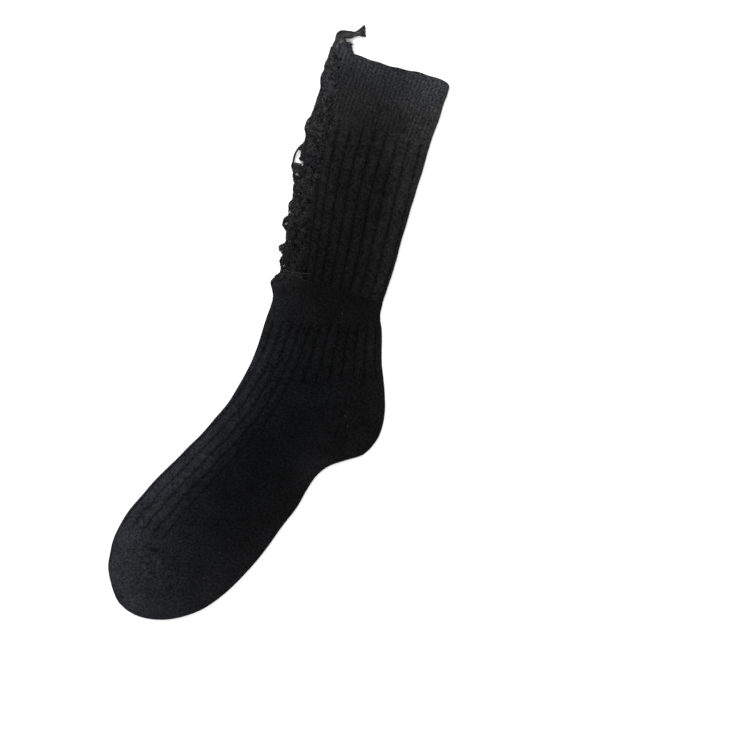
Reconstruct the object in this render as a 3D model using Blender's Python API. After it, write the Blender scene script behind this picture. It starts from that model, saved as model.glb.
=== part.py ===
"""A worn rib-knit crew sock laid flat, torn open along the front of its leg.

The sock lies on its side on the XY plane. Y runs up the leg to the cuff, the front of the leg
and the toe point to -X, the heel points to +X, and Z is up. The origin is the middle of the
sock's box, on the surface that it lies on.

The cloth is a rib knit about 2 mm thick, so the flat sock is two walls with a thin space
between them. The torn tube above the ankle is two panels, one on the other, which meet at the
back fold. Below the ankle band the tube is whole, down to the closed toe. Each ring of the cloth
is a section from the front edge to the back edge, and ribs are raised in the outer points only.
"""
import math
import random
from collections import namedtuple

import bmesh
import bpy
import numpy as np
from mathutils import Vector

# Driving sizes, in millimetres
MM = 0.001
WALL = 2.0                # cloth between the ribs
HOLLOW = 0.7              # space between the two layers
SEAM = 0.3                # gap between neighbouring pieces
FOLD_RADIUS = 2.6         # how far a folded edge rounds away
WIDE_RIB = 0.9            # height of the leg and foot ribs
FINE_RIB = 0.45           # height of the cuff ribs
LAYERS = 2 * WALL + HOLLOW
MIDDLE = LAYERS / 2       # height of the fold line
BAND_TOP = 40.0           # top of the plain ankle band
CUFF_FOOT = 158.0         # where the wide ribs give way to the fine ones
INNER_COLUMNS = 12        # points across the plain inside of a wall
COLUMN_STEP = 0.35        # least distance between columns squeezed at the torn edge

# Torn tube above the ankle: a row for each height up the leg.
# outline: outer limit of the loose loops; torn: edge of the sound cloth; back: back fold.
LegRow = namedtuple("LegRow", "y outline torn back")
LEG_ROWS = [LegRow(*row) for row in (
    (40.3, -22.4, -4.5, 56.3),
    (44.0, -23.1, -5.7, 56.2),
    (48.0, -25.5, -6.9, 56.6),
    (53.0, -24.4, -8.2, 56.8),
    (57.0, -29.1, -9.1, 56.8),
    (62.0, -25.2, -10.4, 56.9),
    (70.0, -26.8, -12.1, 56.9),
    (74.5, -31.3, -12.7, 57.1),
    (77.5, -31.5, -13.6, 56.8),
    (82.0, -29.0, -14.6, 56.3),
    (90.0, -31.1, -14.4, 56.3),
    (94.0, -29.6, -14.9, 56.4),
    (104.0, -31.7, -15.5, 56.2),
    (112.0, -34.6, -15.4, 56.2),
    (118.0, -37.6, -16.2, 56.1),
    (126.0, -37.8, -15.9, 56.1),
    (131.0, -36.5, -15.8, 56.2),
    (137.0, -33.4, -16.6, 56.2),
    (141.0, -33.6, -16.9, 56.2),
    (148.0, -36.4, -16.4, 56.2),
    (152.0, -36.2, -16.5, 56.2),
    (156.0, -34.4, -17.1, 55.9),
    (162.0, -33.9, -18.0, 55.8),
    (178.0, -33.6, -21.8, 56.7),
    (186.0, -35.8, -23.6, 57.0),
    (192.0, -34.9, -25.0, 56.9),
    (195.0, -35.7, -26.0, 56.9),
    (201.0, -34.8, -27.7, 57.2),
    (214.0, -35.0, -29.2, 57.5),
)]

# Top edge of the cuff, which stands up in a torn corner beside the frayed front.
TopPoint = namedtuple("TopPoint", "x y")
CUFF_TOP = [TopPoint(*point) for point in (
    (-32.0, 209.0), (-28.5, 210.9), (-27.4, 213.3), (-24.0, 215.2), (-21.2, 215.5),
    (-19.6, 213.8), (-17.6, 209.0), (-6.0, 208.3), (6.0, 207.7), (31.0, 209.5), (50.0, 209.6),
    (58.0, 207.8),
)]
CUFF_CORNER = 208.0       # the torn and back edges are read at this height for the top edge

# Heights of the sections of the leg and of the cuff.
LEG_SECTIONS = (40.3, 46.0, 57.0, 69.0, 81.0, 93.0, 105.0, 117.0, 129.0, 141.0, 150.0,
                CUFF_FOOT - SEAM / 2)
CUFF_SECTIONS = (CUFF_FOOT + SEAM / 2, 166.0, 175.0, 184.0, 193.0, 201.0)

# Wide ribs of the leg fan out from the torn edge: x of the first and the last valley at the
# height of the fan, and how far each moves for a millimetre down the leg.
RIB_PARTS = (0.0, 0.2, 0.5, 0.8)      # places across a rib that have a column of points
WIDE_VALLEYS = 8
WIDE_FAN_Y = 115.0
WIDE_FIRST = (-14.8, 0.16)
WIDE_LAST = (52.1, 0.0625)
WIDE_SPREAD = 0.12        # below the fan the ribs widen a little towards the back
FINE_RIBS = 26            # fine ribs from the line of the first wide valley to the back fold
FINE_BEFORE = 3           # and those in front of that line

# Whole tube below the ankle: a row for each section, from its front edge to its back edge.
FootRow = namedtuple("FootRow", "front_x front_y back_x back_y first_valley rib_pitch")
FOOT_ROWS = [FootRow(*row) for row in (
    (-20.4, 40.0, 56.4, 40.0, 6.5, 6.6),
    (-23.9, 37.0, 56.7, 37.5, 6.5, 6.6),
    (-27.2, 31.5, 56.9, 33.0, 6.5, 6.6),
    (-24.7, 26.5, 58.2, 28.0, 6.5, 6.6),
    (-22.2, 21.0, 60.9, 22.5, 6.5, 6.6),
    (-21.8, 13.7, 63.0, 16.6, 6.4, 6.6),
    (-22.3, 5.5, 64.9, 10.0, 6.3, 6.6),
    (-22.4, -2.8, 66.8, 3.4, 6.2, 6.6),
    (-22.4, -10.8, 69.1, -3.6, 6.0, 6.6),
    (-22.6, -18.8, 72.1, -10.5, 5.6, 6.7),
    (-23.6, -30.0, 76.4, -21.0, 5.0, 6.9),
    (-25.6, -41.0, 80.6, -33.6, 4.4, 7.1),
    (-27.9, -51.0, 82.5, -45.7, 3.8, 7.3),
    (-30.6, -61.5, 81.5, -57.7, 3.2, 7.5),
    (-33.7, -69.5, 75.3, -70.4, 2.8, 7.6),
    (-36.9, -76.5, 64.9, -77.8, 2.4, 7.7),
    (-40.3, -84.5, 53.5, -86.0, 2.2, 7.7),
    (-44.2, -92.8, 46.8, -95.5, 2.0, 7.7),
    (-49.6, -102.5, 43.0, -107.5, 1.8, 7.7),
    (-54.3, -111.7, 39.7, -122.0, 1.8, 7.7),
    (-60.5, -122.9, 33.4, -138.5, 1.8, 7.7),
    (-66.3, -133.7, 27.9, -155.1, 1.8, 7.7),
    (-71.7, -146.0, 21.8, -170.4, 1.8, 7.7),
    (-77.5, -159.1, 13.4, -187.7, 1.8, 7.7),
    (-80.9, -171.6, 4.6, -202.1, 1.8, 7.7),
    (-82.6, -183.5, -5.6, -214.4, 1.8, 7.7),
    (-81.9, -194.4, -17.8, -223.6, 1.8, 7.7),
    (-80.2, -204.7, -29.1, -229.1, 1.8, 7.7),
    (-74.6, -215.5, -40.3, -231.9, 1.8, 7.7),
    (-69.0, -223.3, -50.5, -232.2, 1.8, 7.7),
    (-64.9, -227.2, -58.5, -230.4, 1.8, 7.7),
)]
TOE_TIP = (-62.1, -229.3)
ANKLE_RIBS = 12.7         # ribs from the front edge to the back edge
INSTEP_RIBS = 5           # those of them that run on down the foot
WIDEST_PITCH = 0.085      # of the section's width, so that columns fit the narrow toe
WIDEST_SHOULDER = 0.15    # the same for the rounding of the underside's edges
TOE_CAVITY = 8.0          # the hollow ends where it gets narrower than this

# Places where the layers stand a little apart, and soft creases pressed into the upper one.
Puff = namedtuple("Puff", "x y radius height")
PUFFS = [Puff(*row) for row in (
    (52.0, -44.0, 24.0, 1.3),
    (-47.0, -200.0, 28.0, 0.9),
    (-20.0, -110.0, 30.0, 0.5),
)]
Crease = namedtuple("Crease", "from_x from_y to_x to_y width depth")
CREASES = [Crease(*row) for row in (
    (78.0, -30.0, 34.0, -52.0, 7.0, 0.6),
    (22.0, -58.0, 56.0, -72.0, 6.0, 0.5),
    (-20.0, -26.0, 12.0, -42.0, 6.0, 0.4),
    (8.0, -140.0, -22.0, -152.0, 8.0, 0.35),
)]

# Ends of the ribbing, each a point and a slope: below the band, above the heel, before the toe.
EndLine = namedtuple("EndLine", "x y slope")
BAND_LINE = EndLine(10.0, 12.0, 0.26)
HEEL_LINE = EndLine(16.0, -35.0, 0.363)
TOE_LINE = EndLine(-72.0, -171.0, -0.15)
RIB_RUN_OUT = 4.0
QUICK_TURN = math.radians(11)

# Loose loops along the torn edge
BACKING_WIDTH = 2.0
TEAR_TOP = 209.6
UPPER_LOOPS = 64
UNDER_LOOPS = 48
LOOP_THICKNESS = 1.35
LOOP_RISE = 1.5           # of a loop's crest above the fold line
LOOP_TURN_IN = 2.2        # how far a loop's end turns in under the front fold
UNDER_SHORTER = 4.8       # the lower row ends this far inside the outer limit
LOOP_SEED = 7
HOLE_MIDDLE = 124.0       # the one clear hole through the loops
HOLE_LENGTH = 12.0
HOLE_WIDTH = 6.0
HOLE_YARN = 1.3

# Torn strip that stands up from the cuff's front corner: centre, width and thickness.
TailRow = namedtuple("TailRow", "x y z width thickness")
TAIL_ROWS = [TailRow(*row) for row in (
    (-31.6, 209.9, 2.4, 5.0, 3.6),
    (-31.2, 212.3, 2.4, 5.9, 3.6),
    (-31.0, 214.6, 2.4, 6.2, 3.4),
    (-31.0, 216.8, 2.5, 5.4, 3.2),
    (-30.6, 219.2, 2.7, 5.4, 3.0),
    (-28.4, 220.8, 2.8, 5.2, 3.0),
    (-25.4, 221.6, 2.8, 5.0, 2.8),
    (-22.1, 222.7, 2.6, 4.4, 2.6),
    (-19.9, 223.8, 2.4, 3.1, 2.4),
    (-17.2, 225.8, 2.3, 4.8, 2.2),
)]
TAIL_ENDS = 5             # loose yarns that the strip's end splits into
TAIL_END_LENGTH = 3.6
TAIL_END_SPREAD = 3.0
TAIL_END_TAPER = 0.7

# Colours
BLACK_COTTON = (0.011, 0.0115, 0.0125, 1.0)
FRAYED_COTTON = (0.014, 0.0145, 0.016, 1.0)


def clear_scene():
    for thing in list(bpy.data.objects):
        bpy.data.objects.remove(thing, do_unlink=True)


def leg_value(name, y):
    """One of the leg table's columns at any height."""
    heights = [row.y for row in LEG_ROWS]
    return float(np.interp(y, heights, [getattr(row, name) for row in LEG_ROWS]))


def cuff_top(x):
    return float(np.interp(x, [point.x for point in CUFF_TOP], [point.y for point in CUFF_TOP]))


def torn_edge(y):
    """The sound cloth's torn edge at a height, as the panels' sections draw it."""
    heights = list(LEG_SECTIONS + CUFF_SECTIONS)
    places = [leg_value("torn", height) for height in heights]
    places.append(leg_value("torn", CUFF_CORNER))
    heights.append(cuff_top(places[-1]))
    return float(np.interp(y, heights, places))


def smooth(value):
    value = min(1.0, max(0.0, value))
    return value * value * (3 - 2 * value)


def rounding(distance, radius=FOLD_RADIUS):
    """Share of the full height at a distance in from a folded edge."""
    inward = min(1.0, max(0.0, distance / radius))
    return math.sqrt(1 - (1 - inward) ** 2)


def rib_crown(ribs):
    """Share of a rib's height: none at a valley, which is a whole number, and a domed crown."""
    across = math.sin(math.pi * (ribs - math.floor(ribs)))
    return across ** 0.35 if across > 1e-6 else 0.0


def material(name, colour, roughness):
    shade = bpy.data.materials.new(name)
    shade.use_nodes = True
    principled = shade.node_tree.nodes["Principled BSDF"]
    principled.inputs["Base Color"].default_value = colour
    principled.inputs["Roughness"].default_value = roughness
    principled.inputs["Metallic"].default_value = 0.0
    return shade


def finish(name, bm, collection, colour, roughness=0.95):
    """Turn a bmesh in millimetres into a named object in metres."""
    bmesh.ops.recalc_face_normals(bm, faces=bm.faces)
    bmesh.ops.scale(bm, vec=(MM, MM, MM), verts=bm.verts)
    mesh = bpy.data.meshes.new(name)
    bm.to_mesh(mesh)
    bm.free()
    mesh.shade_smooth()
    mesh.set_sharp_from_angle(angle=math.radians(50))
    piece = bpy.data.objects.new(name, mesh)
    piece.data.materials.append(material(name + "_cloth", colour, roughness))
    collection.objects.link(piece)
    return piece


def join_rims(bm, first, first_share, second, second_share):
    """Fill between two rows of points that have unlike counts, by their shares of the width."""
    i, j = 0, 0
    while i < len(first) - 1 or j < len(second) - 1:
        step_first = i < len(first) - 1
        if step_first and j < len(second) - 1:
            step_first = first_share[i + 1] <= second_share[j + 1]
        if step_first:
            bm.faces.new((first[i], first[i + 1], second[j]))
            i += 1
        else:
            bm.faces.new((first[i], second[j + 1], second[j]))
            j += 1


def loft(bm, rows):
    """Quads through rows of points, and the rows as vertices."""
    made = [[bm.verts.new(point) for point in row] for row in rows]
    for low, high in zip(made, made[1:]):
        for i in range(len(low) - 1):
            bm.faces.new((low[i], low[i + 1], high[i + 1], high[i]))
    return made


def wall_panel(name, collection, outer, inner):
    """A wall whose outer and inner sheets are rows of points, closed round all four edges."""
    bm = bmesh.new()
    outer_rows = loft(bm, outer)
    inner_rows = loft(bm, inner)
    for end in (0, -1):
        outer_across = [point[0] for point in outer[end]]
        inner_across = [point[0] for point in inner[end]]
        join_rims(bm, outer_rows[end], outer_across, inner_rows[end], inner_across)
    for side in (0, -1):
        for k in range(len(outer_rows) - 1):
            bm.faces.new((outer_rows[k][side], outer_rows[k + 1][side],
                          inner_rows[k + 1][side], inner_rows[k][side]))
    return finish(name, bm, collection, BLACK_COTTON)


def first_valley_x(y):
    """The line of the first wide valley, which runs on straight up through the cuff."""
    return WIDE_FIRST[0] + (WIDE_FAN_Y - min(y, CUFF_FOOT)) * WIDE_FIRST[1]


def wide_rib_x(number, y):
    """Where a rib number lies across the leg at a height: the ribs fan out down the leg."""
    first = first_valley_x(y)
    last = WIDE_LAST[0] + (WIDE_FAN_Y - y) * WIDE_LAST[1]
    share = number / WIDE_VALLEYS
    spread = 1 + WIDE_SPREAD * smooth((CUFF_FOOT - y) / (CUFF_FOOT - WIDE_FAN_Y))
    return first + (last - first) * math.copysign(abs(share) ** spread, share)


def fine_rib_x(number, y):
    """Where a fine rib lies across the cuff."""
    first = first_valley_x(y)
    return first + (leg_value("back", y) - first) * number / FINE_RIBS


def fold_columns(back):
    """Columns round the upper half of the back fold, given its edge."""
    return [back - FOLD_RADIUS * share for share in (1.0, 0.5, 0.15, 0.0)]


def upper_sheet(y_of_x, y, ribs, rib_x, height):
    """One row of the upper panel's outer points, from the torn edge to the back fold."""
    torn = leg_value("torn", y)
    back = leg_value("back", y)
    row = []
    for i, number in enumerate([None] + ribs):
        x = torn if number is None else max(rib_x(number, y), torn + COLUMN_STEP * i)
        x = min(x, back - FOLD_RADIUS - COLUMN_STEP * (len(ribs) + 1 - i))
        crown = 0.0 if number is None else rib_crown(number)
        z = LAYERS + height * crown
        row.append((x, y_of_x(x), z))
    for x in fold_columns(back):
        z = MIDDLE + MIDDLE * rounding(back - x)
        row.append((x, y_of_x(x), max(z, MIDDLE + SEAM / 2)))
    return row


def plain_sheet(y_of_x, y, level, edge_level, inset, radius):
    """One row of plain points from the torn edge to the back fold."""
    torn = leg_value("torn", y)
    back = leg_value("back", y) - inset
    across = [torn + (back - radius - torn) * k / INNER_COLUMNS for k in range(INNER_COLUMNS + 1)]
    across += [back - radius / 2, back - radius / 8, back]
    row = []
    for x in across:
        z = edge_level + (level - edge_level) * rounding(back - x, radius)
        row.append((x, y_of_x(x), z))
    return row


def torn_tube(name, collection, heights, top, ribs, rib_x, height):
    """Both panels of a length of the torn tube."""
    seam_up, seam_down = MIDDLE + SEAM / 2, MIDDLE - SEAM / 2
    roof, floor = MIDDLE + HOLLOW / 2, MIDDLE - HOLLOW / 2
    sheets = {"upper": [], "upper_inside": [], "under": [], "under_inside": []}
    sections = [(y, lambda x, y=y: y) for y in heights]
    if top is not None:
        sections.append((CUFF_CORNER, top))
    for y, y_of_x in sections:
        sheets["upper"].append(upper_sheet(y_of_x, y, ribs, rib_x, height))
        sheets["upper_inside"].append(plain_sheet(y_of_x, y, roof, seam_up, WALL, HOLLOW))
        sheets["under"].append(plain_sheet(y_of_x, y, 0.0, seam_down, 0.0, FOLD_RADIUS))
        sheets["under_inside"].append(plain_sheet(y_of_x, y, floor, seam_down, WALL, HOLLOW))
    wall_panel(name + "_upper", collection, sheets["upper"], sheets["upper_inside"])
    wall_panel(name + "_under", collection, sheets["under"], sheets["under_inside"])


def make_leg(collection):
    ribs = [k + part for k in range(-1, WIDE_VALLEYS + 1) for part in RIB_PARTS]
    ribs = [number for number in ribs if -0.6 < number < WIDE_VALLEYS + 0.1]
    torn_tube("leg", collection, LEG_SECTIONS, None, ribs, wide_rib_x, WIDE_RIB)


def make_cuff(collection):
    ribs = [k + part for k in range(-FINE_BEFORE, FINE_RIBS) for part in (0.0, 0.5)]
    torn_tube("cuff", collection, CUFF_SECTIONS, cuff_top, ribs, fine_rib_x, FINE_RIB)


def puff(x, y):
    """How far the upper layer stands off the lower one, beyond the plain hollow."""
    total = 0.0
    for row in PUFFS:
        away = math.dist((x, y), (row.x, row.y)) / row.radius
        total += row.height * math.exp(-away * away)
    return total


def crease(x, y):
    """Depth of the soft creases at a place."""
    total = 0.0
    for row in CREASES:
        start, end = Vector((row.from_x, row.from_y)), Vector((row.to_x, row.to_y))
        run = end - start
        along = min(1.0, max(0.0, (Vector((x, y)) - start).dot(run) / run.length_squared))
        away = (Vector((x, y)) - start.lerp(end, along)).length / row.width
        run_out = math.sin(math.pi * (0.1 + 0.8 * along))
        total += row.depth * math.exp(-4 * away * away) * run_out
    return total


def between(rows, k, share):
    """A row part of the way to the next one, on a smooth curve through the rows."""
    last = len(rows) - 1
    nearby = [np.array(rows[min(max(k + step, 0), last)]) for step in (-1, 0, 1, 2)]
    before, start, end, after = nearby
    curve = 2 * start + (end - before) * share
    curve = curve + (2 * before - 5 * start + 4 * end - after) * share ** 2
    curve = curve + (3 * start - before - 3 * end + after) * share ** 3
    return FootRow(*(curve / 2))


def edge_points(row):
    """The front and the back end of a section."""
    return Vector((row.front_x, row.front_y)), Vector((row.back_x, row.back_y))


def refined(rows):
    """The rows, with one more between any two where an edge of the foot turns quickly."""
    result = [rows[0]]
    for k in range(len(rows) - 1):
        nearby = [edge_points(rows[min(max(k + step, 0), len(rows) - 1)]) for step in (-1, 0, 1, 2)]
        turns = []
        for places in zip(*nearby):
            runs = [b - a for a, b in zip(places, places[1:]) if (b - a).length > 0]
            turns.append(max(a.angle(b) for a, b in zip(runs, runs[1:])))
        if max(turns) > QUICK_TURN:
            result.append(between(rows, k, 0.5))
        result.append(rows[k + 1])
    return result


def foot_outline():
    """The edge of the flat foot as a run of points from the front, round the toe, to the back."""
    front, back = zip(*(edge_points(row) for row in refined(FOOT_ROWS)))
    return [*front, Vector(TOE_TIP), *back[::-1]]


def edge_distance(point, outline):
    """Distance from a point to the folded edge, which leaves out the open top."""
    best = 1e9
    for a, b in zip(outline, outline[1:]):
        run = b - a
        share = min(1.0, max(0.0, (point - a).dot(run) / run.length_squared))
        best = min(best, (point - a - share * run).length)
    return best


def foot_rib_height(number, x, y):
    """Height of the ribbing at a place: it covers the ankle and the instep only."""
    def past(line):
        return y - line.y - (x - line.x) * line.slope

    shown = smooth(-past(BAND_LINE) / RIB_RUN_OUT)
    if number > INSTEP_RIBS:
        shown *= smooth(past(HEEL_LINE) / RIB_RUN_OUT)
    else:
        shown *= smooth(past(TOE_LINE) / (2 * RIB_RUN_OUT))
    return WIDE_RIB * shown * rib_crown(number)


def rib_distance(number, width, first, pitch):
    """Distance of a rib number from the front edge of a section."""
    pitch = min(pitch, WIDEST_PITCH * width)
    first = min(first, pitch)
    border = first + (INSTEP_RIBS - 1) * pitch
    if number <= 1:
        return number * first
    if number <= INSTEP_RIBS:
        return first + (number - 1) * pitch
    return border + (width - border) * (number - INSTEP_RIBS) / (ANKLE_RIBS - INSTEP_RIBS)


def foot_outer_row(row, outline):
    """A section's outer points: over the top from front to back, then under it again."""
    front, back = edge_points(row)
    width = (back - front).length
    ribs = [k + part for k in range(math.ceil(ANKLE_RIBS)) for part in RIB_PARTS]
    ribs = [number for number in ribs if number < ANKLE_RIBS]
    points, shares = [], []
    for number in ribs + [ANKLE_RIBS]:
        share = rib_distance(number, width, row.first_valley, row.rib_pitch) / width
        place = front.lerp(back, share)
        lift = rounding(edge_distance(place, outline)) if 0 < share < 1 else 0.0
        relief = foot_rib_height(number, place.x, place.y) - crease(place.x, place.y)
        z = MIDDLE + (MIDDLE + relief + puff(place.x, place.y)) * lift
        points.append((place.x, place.y, z))
        shares.append(share / 2)
    shoulder = min(FOLD_RADIUS / width, WIDEST_SHOULDER)
    under = [shoulder * k for k in (0.15, 0.5, 1.0)]
    plain = (1 - 2 * shoulder) / INNER_COLUMNS
    under += [shoulder + plain * k for k in range(1, INNER_COLUMNS)]
    under += [1 - shoulder * k for k in (1.0, 0.5, 0.15)]
    for share in under:
        place = back.lerp(front, share)
        z = MIDDLE - MIDDLE * rounding(edge_distance(place, outline))
        points.append((place.x, place.y, z))
        shares.append(0.5 + share / 2)
    return points, shares


def foot_inner_row(row, outline):
    """A section's inner points, a wall's thickness in from the edge, or None in the toe's end."""
    front, back = edge_points(row)
    width = (back - front).length
    steps = int(width * 4)
    clear = [k / steps for k in range(steps + 1)
             if edge_distance(front.lerp(back, k / steps), outline) >= WALL]
    if not clear or (clear[-1] - clear[0]) * width < TOE_CAVITY:
        return None
    low, high = clear[0], clear[-1]
    across = [k / INNER_COLUMNS for k in range(INNER_COLUMNS + 1)]
    points, shares = [], []
    for k in across:
        share = low + (high - low) * k
        place = front.lerp(back, share)
        lift = rounding(edge_distance(place, outline) - WALL)
        lift = 0.0 if k in (0.0, 1.0) else HOLLOW / 2 + puff(place.x, place.y) * lift
        points.append((place.x, place.y, MIDDLE + lift))
        shares.append(share / 2)
    for k in across[1:-1]:
        share = high + (low - high) * k
        place = front.lerp(back, share)
        points.append((place.x, place.y, MIDDLE - HOLLOW / 2))
        shares.append(0.5 + (1 - share) / 2)
    return points, shares


def tube(bm, rows, tip):
    """A tube through closed rows of like counts, closed at its last row by a point."""
    made = [[bm.verts.new(point) for point in row] for row in rows]
    count = len(made[0])
    for low, high in zip(made, made[1:]):
        for i in range(count):
            after = (i + 1) % count
            bm.faces.new((low[i], low[after], high[after], high[i]))
    end = bm.verts.new(tip)
    for i in range(count):
        bm.faces.new((made[-1][i], made[-1][(i + 1) % count], end))
    return made


def make_foot(collection):
    outline = foot_outline()
    outer = [foot_outer_row(row, outline) for row in refined(FOOT_ROWS)]
    inner = [foot_inner_row(row, outline) for row in refined(FOOT_ROWS)]
    inner = [row for row in inner if row is not None]
    bm = bmesh.new()
    outer_rows = tube(bm, [points for points, shares in outer], (*TOE_TIP, MIDDLE))
    inside_end = inner[-1][0]
    middle_x = sum(point[0] for point in inside_end) / len(inside_end)
    middle_y = sum(point[1] for point in inside_end) / len(inside_end)
    inner_rows = tube(bm, [points for points, shares in inner], (middle_x, middle_y - 1.0, MIDDLE))
    outer_rim = outer_rows[0] + [outer_rows[0][0]]
    inner_rim = inner_rows[0] + [inner_rows[0][0]]
    join_rims(bm, outer_rim, outer[0][1] + [1.0], inner_rim, inner[0][1] + [1.0])
    finish("foot", bm, collection, BLACK_COTTON)


def extrude_along(bm, face, stops):
    """Pull a face out through stops of (centre, across, width, height)."""
    centre = face.calc_center_median()
    normal = face.normal.copy()
    across = Vector((0, 1, 0)) if abs(normal.y) < 0.7 else Vector((1, 0, 0))
    for target, next_across, width, height in stops:
        direction = (target - centre).normalized()
        next_up = next_across.cross(direction).normalized()
        next_side = direction.cross(next_up).normalized()
        signs = []
        up = across.cross(normal).normalized()
        for vert in face.verts:
            offset = vert.co - centre
            signs.append((math.copysign(1, offset.dot(across)), math.copysign(1, offset.dot(up))))
        face = bmesh.ops.extrude_discrete_faces(bm, faces=[face])["faces"][0]
        for vert, (side, rise) in zip(face.verts, signs):
            vert.co = target + next_side * (side * width / 2) + next_up * (rise * height / 2)
        centre, across, normal = target, next_side, direction
    return face


def backing(bm, count, low, high, y_low, y_high, yarn):
    """The strip that the loops are rooted in, and the faces that they grow from."""
    pitch = (y_high - y_low) / count
    edges = []
    for k in range(count):
        middle = y_low + pitch * (k + 0.5)
        edges += [middle - yarn / 2, middle + yarn / 2]
    edges = [y_low] + edges + [y_high]
    outside, inside = [], []
    for y in edges:
        near = torn_edge(y) - SEAM
        far = near - BACKING_WIDTH
        outside.append((bm.verts.new((far, y, low)), bm.verts.new((far, y, high))))
        inside.append((bm.verts.new((near, y, low)), bm.verts.new((near, y, high))))
    roots = []
    for k in range(len(edges) - 1):
        face = bm.faces.new((outside[k][0], outside[k][1], outside[k + 1][1], outside[k + 1][0]))
        if k % 2:
            roots.append(face)
        bm.faces.new((inside[k][0], inside[k][1], inside[k + 1][1], inside[k + 1][0]))
        bm.faces.new((outside[k][0], outside[k + 1][0], inside[k + 1][0], inside[k][0]))
        bm.faces.new((outside[k][1], outside[k + 1][1], inside[k + 1][1], inside[k][1]))
    for end in (0, -1):
        bm.faces.new((*outside[end], *inside[end][::-1]))
    bmesh.ops.recalc_face_normals(bm, faces=bm.faces)
    bm.normal_update()
    return roots


def in_hole(y):
    return abs(y - HOLE_MIDDLE) < HOLE_LENGTH / 2


def upper_loop(root, chance):
    """Stops of a loop that runs out, rounds the front fold and turns in under it."""
    across = Vector((0, 1, 0))
    reach = leg_value("outline", root.y) + chance.uniform(0.0, 1.0)
    if in_hole(root.y):
        reach += HOLE_WIDTH + chance.uniform(0.0, 0.8)
    length = root.x - reach
    sway = chance.uniform(-0.42, 0.42)
    thick = LOOP_THICKNESS * chance.uniform(0.85, 1.0)
    crest = MIDDLE + LOOP_RISE + chance.uniform(-0.1, 0.5)
    stops = [(0.3, sway, crest), (0.7, -sway, crest - 0.2), (0.92, sway, MIDDLE + 0.4)]
    path = []
    for share, shift, z in stops:
        out = min(share * length, length - thick / 2)
        path.append((Vector((root.x - out, root.y + shift, z)), across, thick, thick))
    end = Vector((reach + min(LOOP_TURN_IN, 0.3 * length), root.y + sway, MIDDLE - 1.1))
    path.append((end, across, thick, 0.8 * thick))
    return path


def hole_yarn(root):
    """Stops of the one yarn that closes the hole on its outer side."""
    out = leg_value("outline", HOLE_MIDDLE)
    top, foot = HOLE_MIDDLE + HOLE_LENGTH / 2 + 0.8, HOLE_MIDDLE - HOLE_LENGTH / 2 + 0.6
    level = MIDDLE + 0.3
    side, along = Vector((0, 1, 0)), Vector((-1, 0, 0))
    return [
        (Vector(((root.x + out) / 2, root.y, MIDDLE + LOOP_RISE)), side, HOLE_YARN, HOLE_YARN),
        (Vector((out + 2.6, top + 0.6, level + 0.6)), side, HOLE_YARN, HOLE_YARN),
        (Vector((out + 1.2, top - 1.6, level)), Vector((-0.8, 0.6, 0)), HOLE_YARN, HOLE_YARN),
        (Vector((out + 0.7, HOLE_MIDDLE, level)), along, HOLE_YARN, HOLE_YARN),
        (Vector((out + 1.0, foot, level)), along, HOLE_YARN, HOLE_YARN),
    ]


def under_loop(root, chance):
    """Stops of a lower loop, which ends inside the turned ends of the upper ones."""
    across = Vector((0, 1, 0))
    nearby = [leg_value("outline", root.y + step) for step in (-4, -2, 0, 2, 4)]
    reach = max(nearby) + UNDER_SHORTER + chance.uniform(0.0, 0.6)
    if in_hole(root.y - 3) or in_hole(root.y + 3):
        reach += HOLE_WIDTH + 0.8
    length = root.x - reach
    if length < 1.6:
        return []
    sway = chance.uniform(-0.6, 0.6)
    thick = 0.85 * LOOP_THICKNESS
    return [
        (Vector((root.x - 0.5 * length, root.y + sway, 1.15)), across, thick, thick),
        (Vector((reach, root.y - sway, 1.2)), across, thick, thick),
    ]


def make_frayed_edge(collection):
    """The loose loops along the tear, in an upper and a lower row."""
    chance = random.Random(LOOP_SEED)
    y_low, y_high = BAND_TOP + 2 * SEAM, TEAR_TOP
    bm = bmesh.new()
    roof = MIDDLE + HOLLOW / 2
    roots = backing(bm, UPPER_LOOPS, roof, LAYERS, y_low, y_high, LOOP_THICKNESS)
    above_hole = min(roots, key=lambda face: abs(
        face.calc_center_median().y - HOLE_MIDDLE - HOLE_LENGTH / 2 - 1.6))
    for face in roots:
        root = face.calc_center_median()
        stops = hole_yarn(root) if face is above_hole else upper_loop(root, chance)
        extrude_along(bm, face, stops)
    finish("frayed_upper", bm, collection, FRAYED_COTTON, 1.0)
    bm = bmesh.new()
    roots = backing(bm, UNDER_LOOPS, 0.0, WALL, y_low, y_high, LOOP_THICKNESS)
    for face in roots:
        stops = under_loop(face.calc_center_median(), chance)
        if stops:
            extrude_along(bm, face, stops)
    finish("frayed_under", bm, collection, FRAYED_COTTON, 1.0)


def tail_end(bm, face, tip, side, thick):
    """Pull one loose yarn out of the strip's end, thinner than its root."""
    centre = face.calc_center_median()
    signs = []
    for vert in face.verts:
        offset = vert.co - centre
        signs.append((math.copysign(1, offset.dot(side)), math.copysign(1, offset.z)))
    for share in (0.4, 1.0):
        face = bmesh.ops.extrude_discrete_faces(bm, faces=[face])["faces"][0]
        middle = centre.lerp(tip, share)
        for vert, (across, rise) in zip(face.verts, signs):
            vert.co = middle + side * (across * thick / 2) + Vector((0, 0, rise * thick / 2))


def tail_section(bm, row, side):
    """Points across the strip at one of its rows, in pairs of a lower and an upper one."""
    centre = Vector((row.x, row.y, row.z))
    half = Vector((0, 0, row.thickness / 2))
    section = []
    for k in range(TAIL_ENDS + 1):
        place = centre + side * row.width * (k / TAIL_ENDS - 0.5)
        section.append((bm.verts.new(place - half), bm.verts.new(place + half)))
    return section


def end_faces(bm, section):
    return [bm.faces.new((a[0], a[1], b[1], b[0])) for a, b in zip(section, section[1:])]


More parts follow.
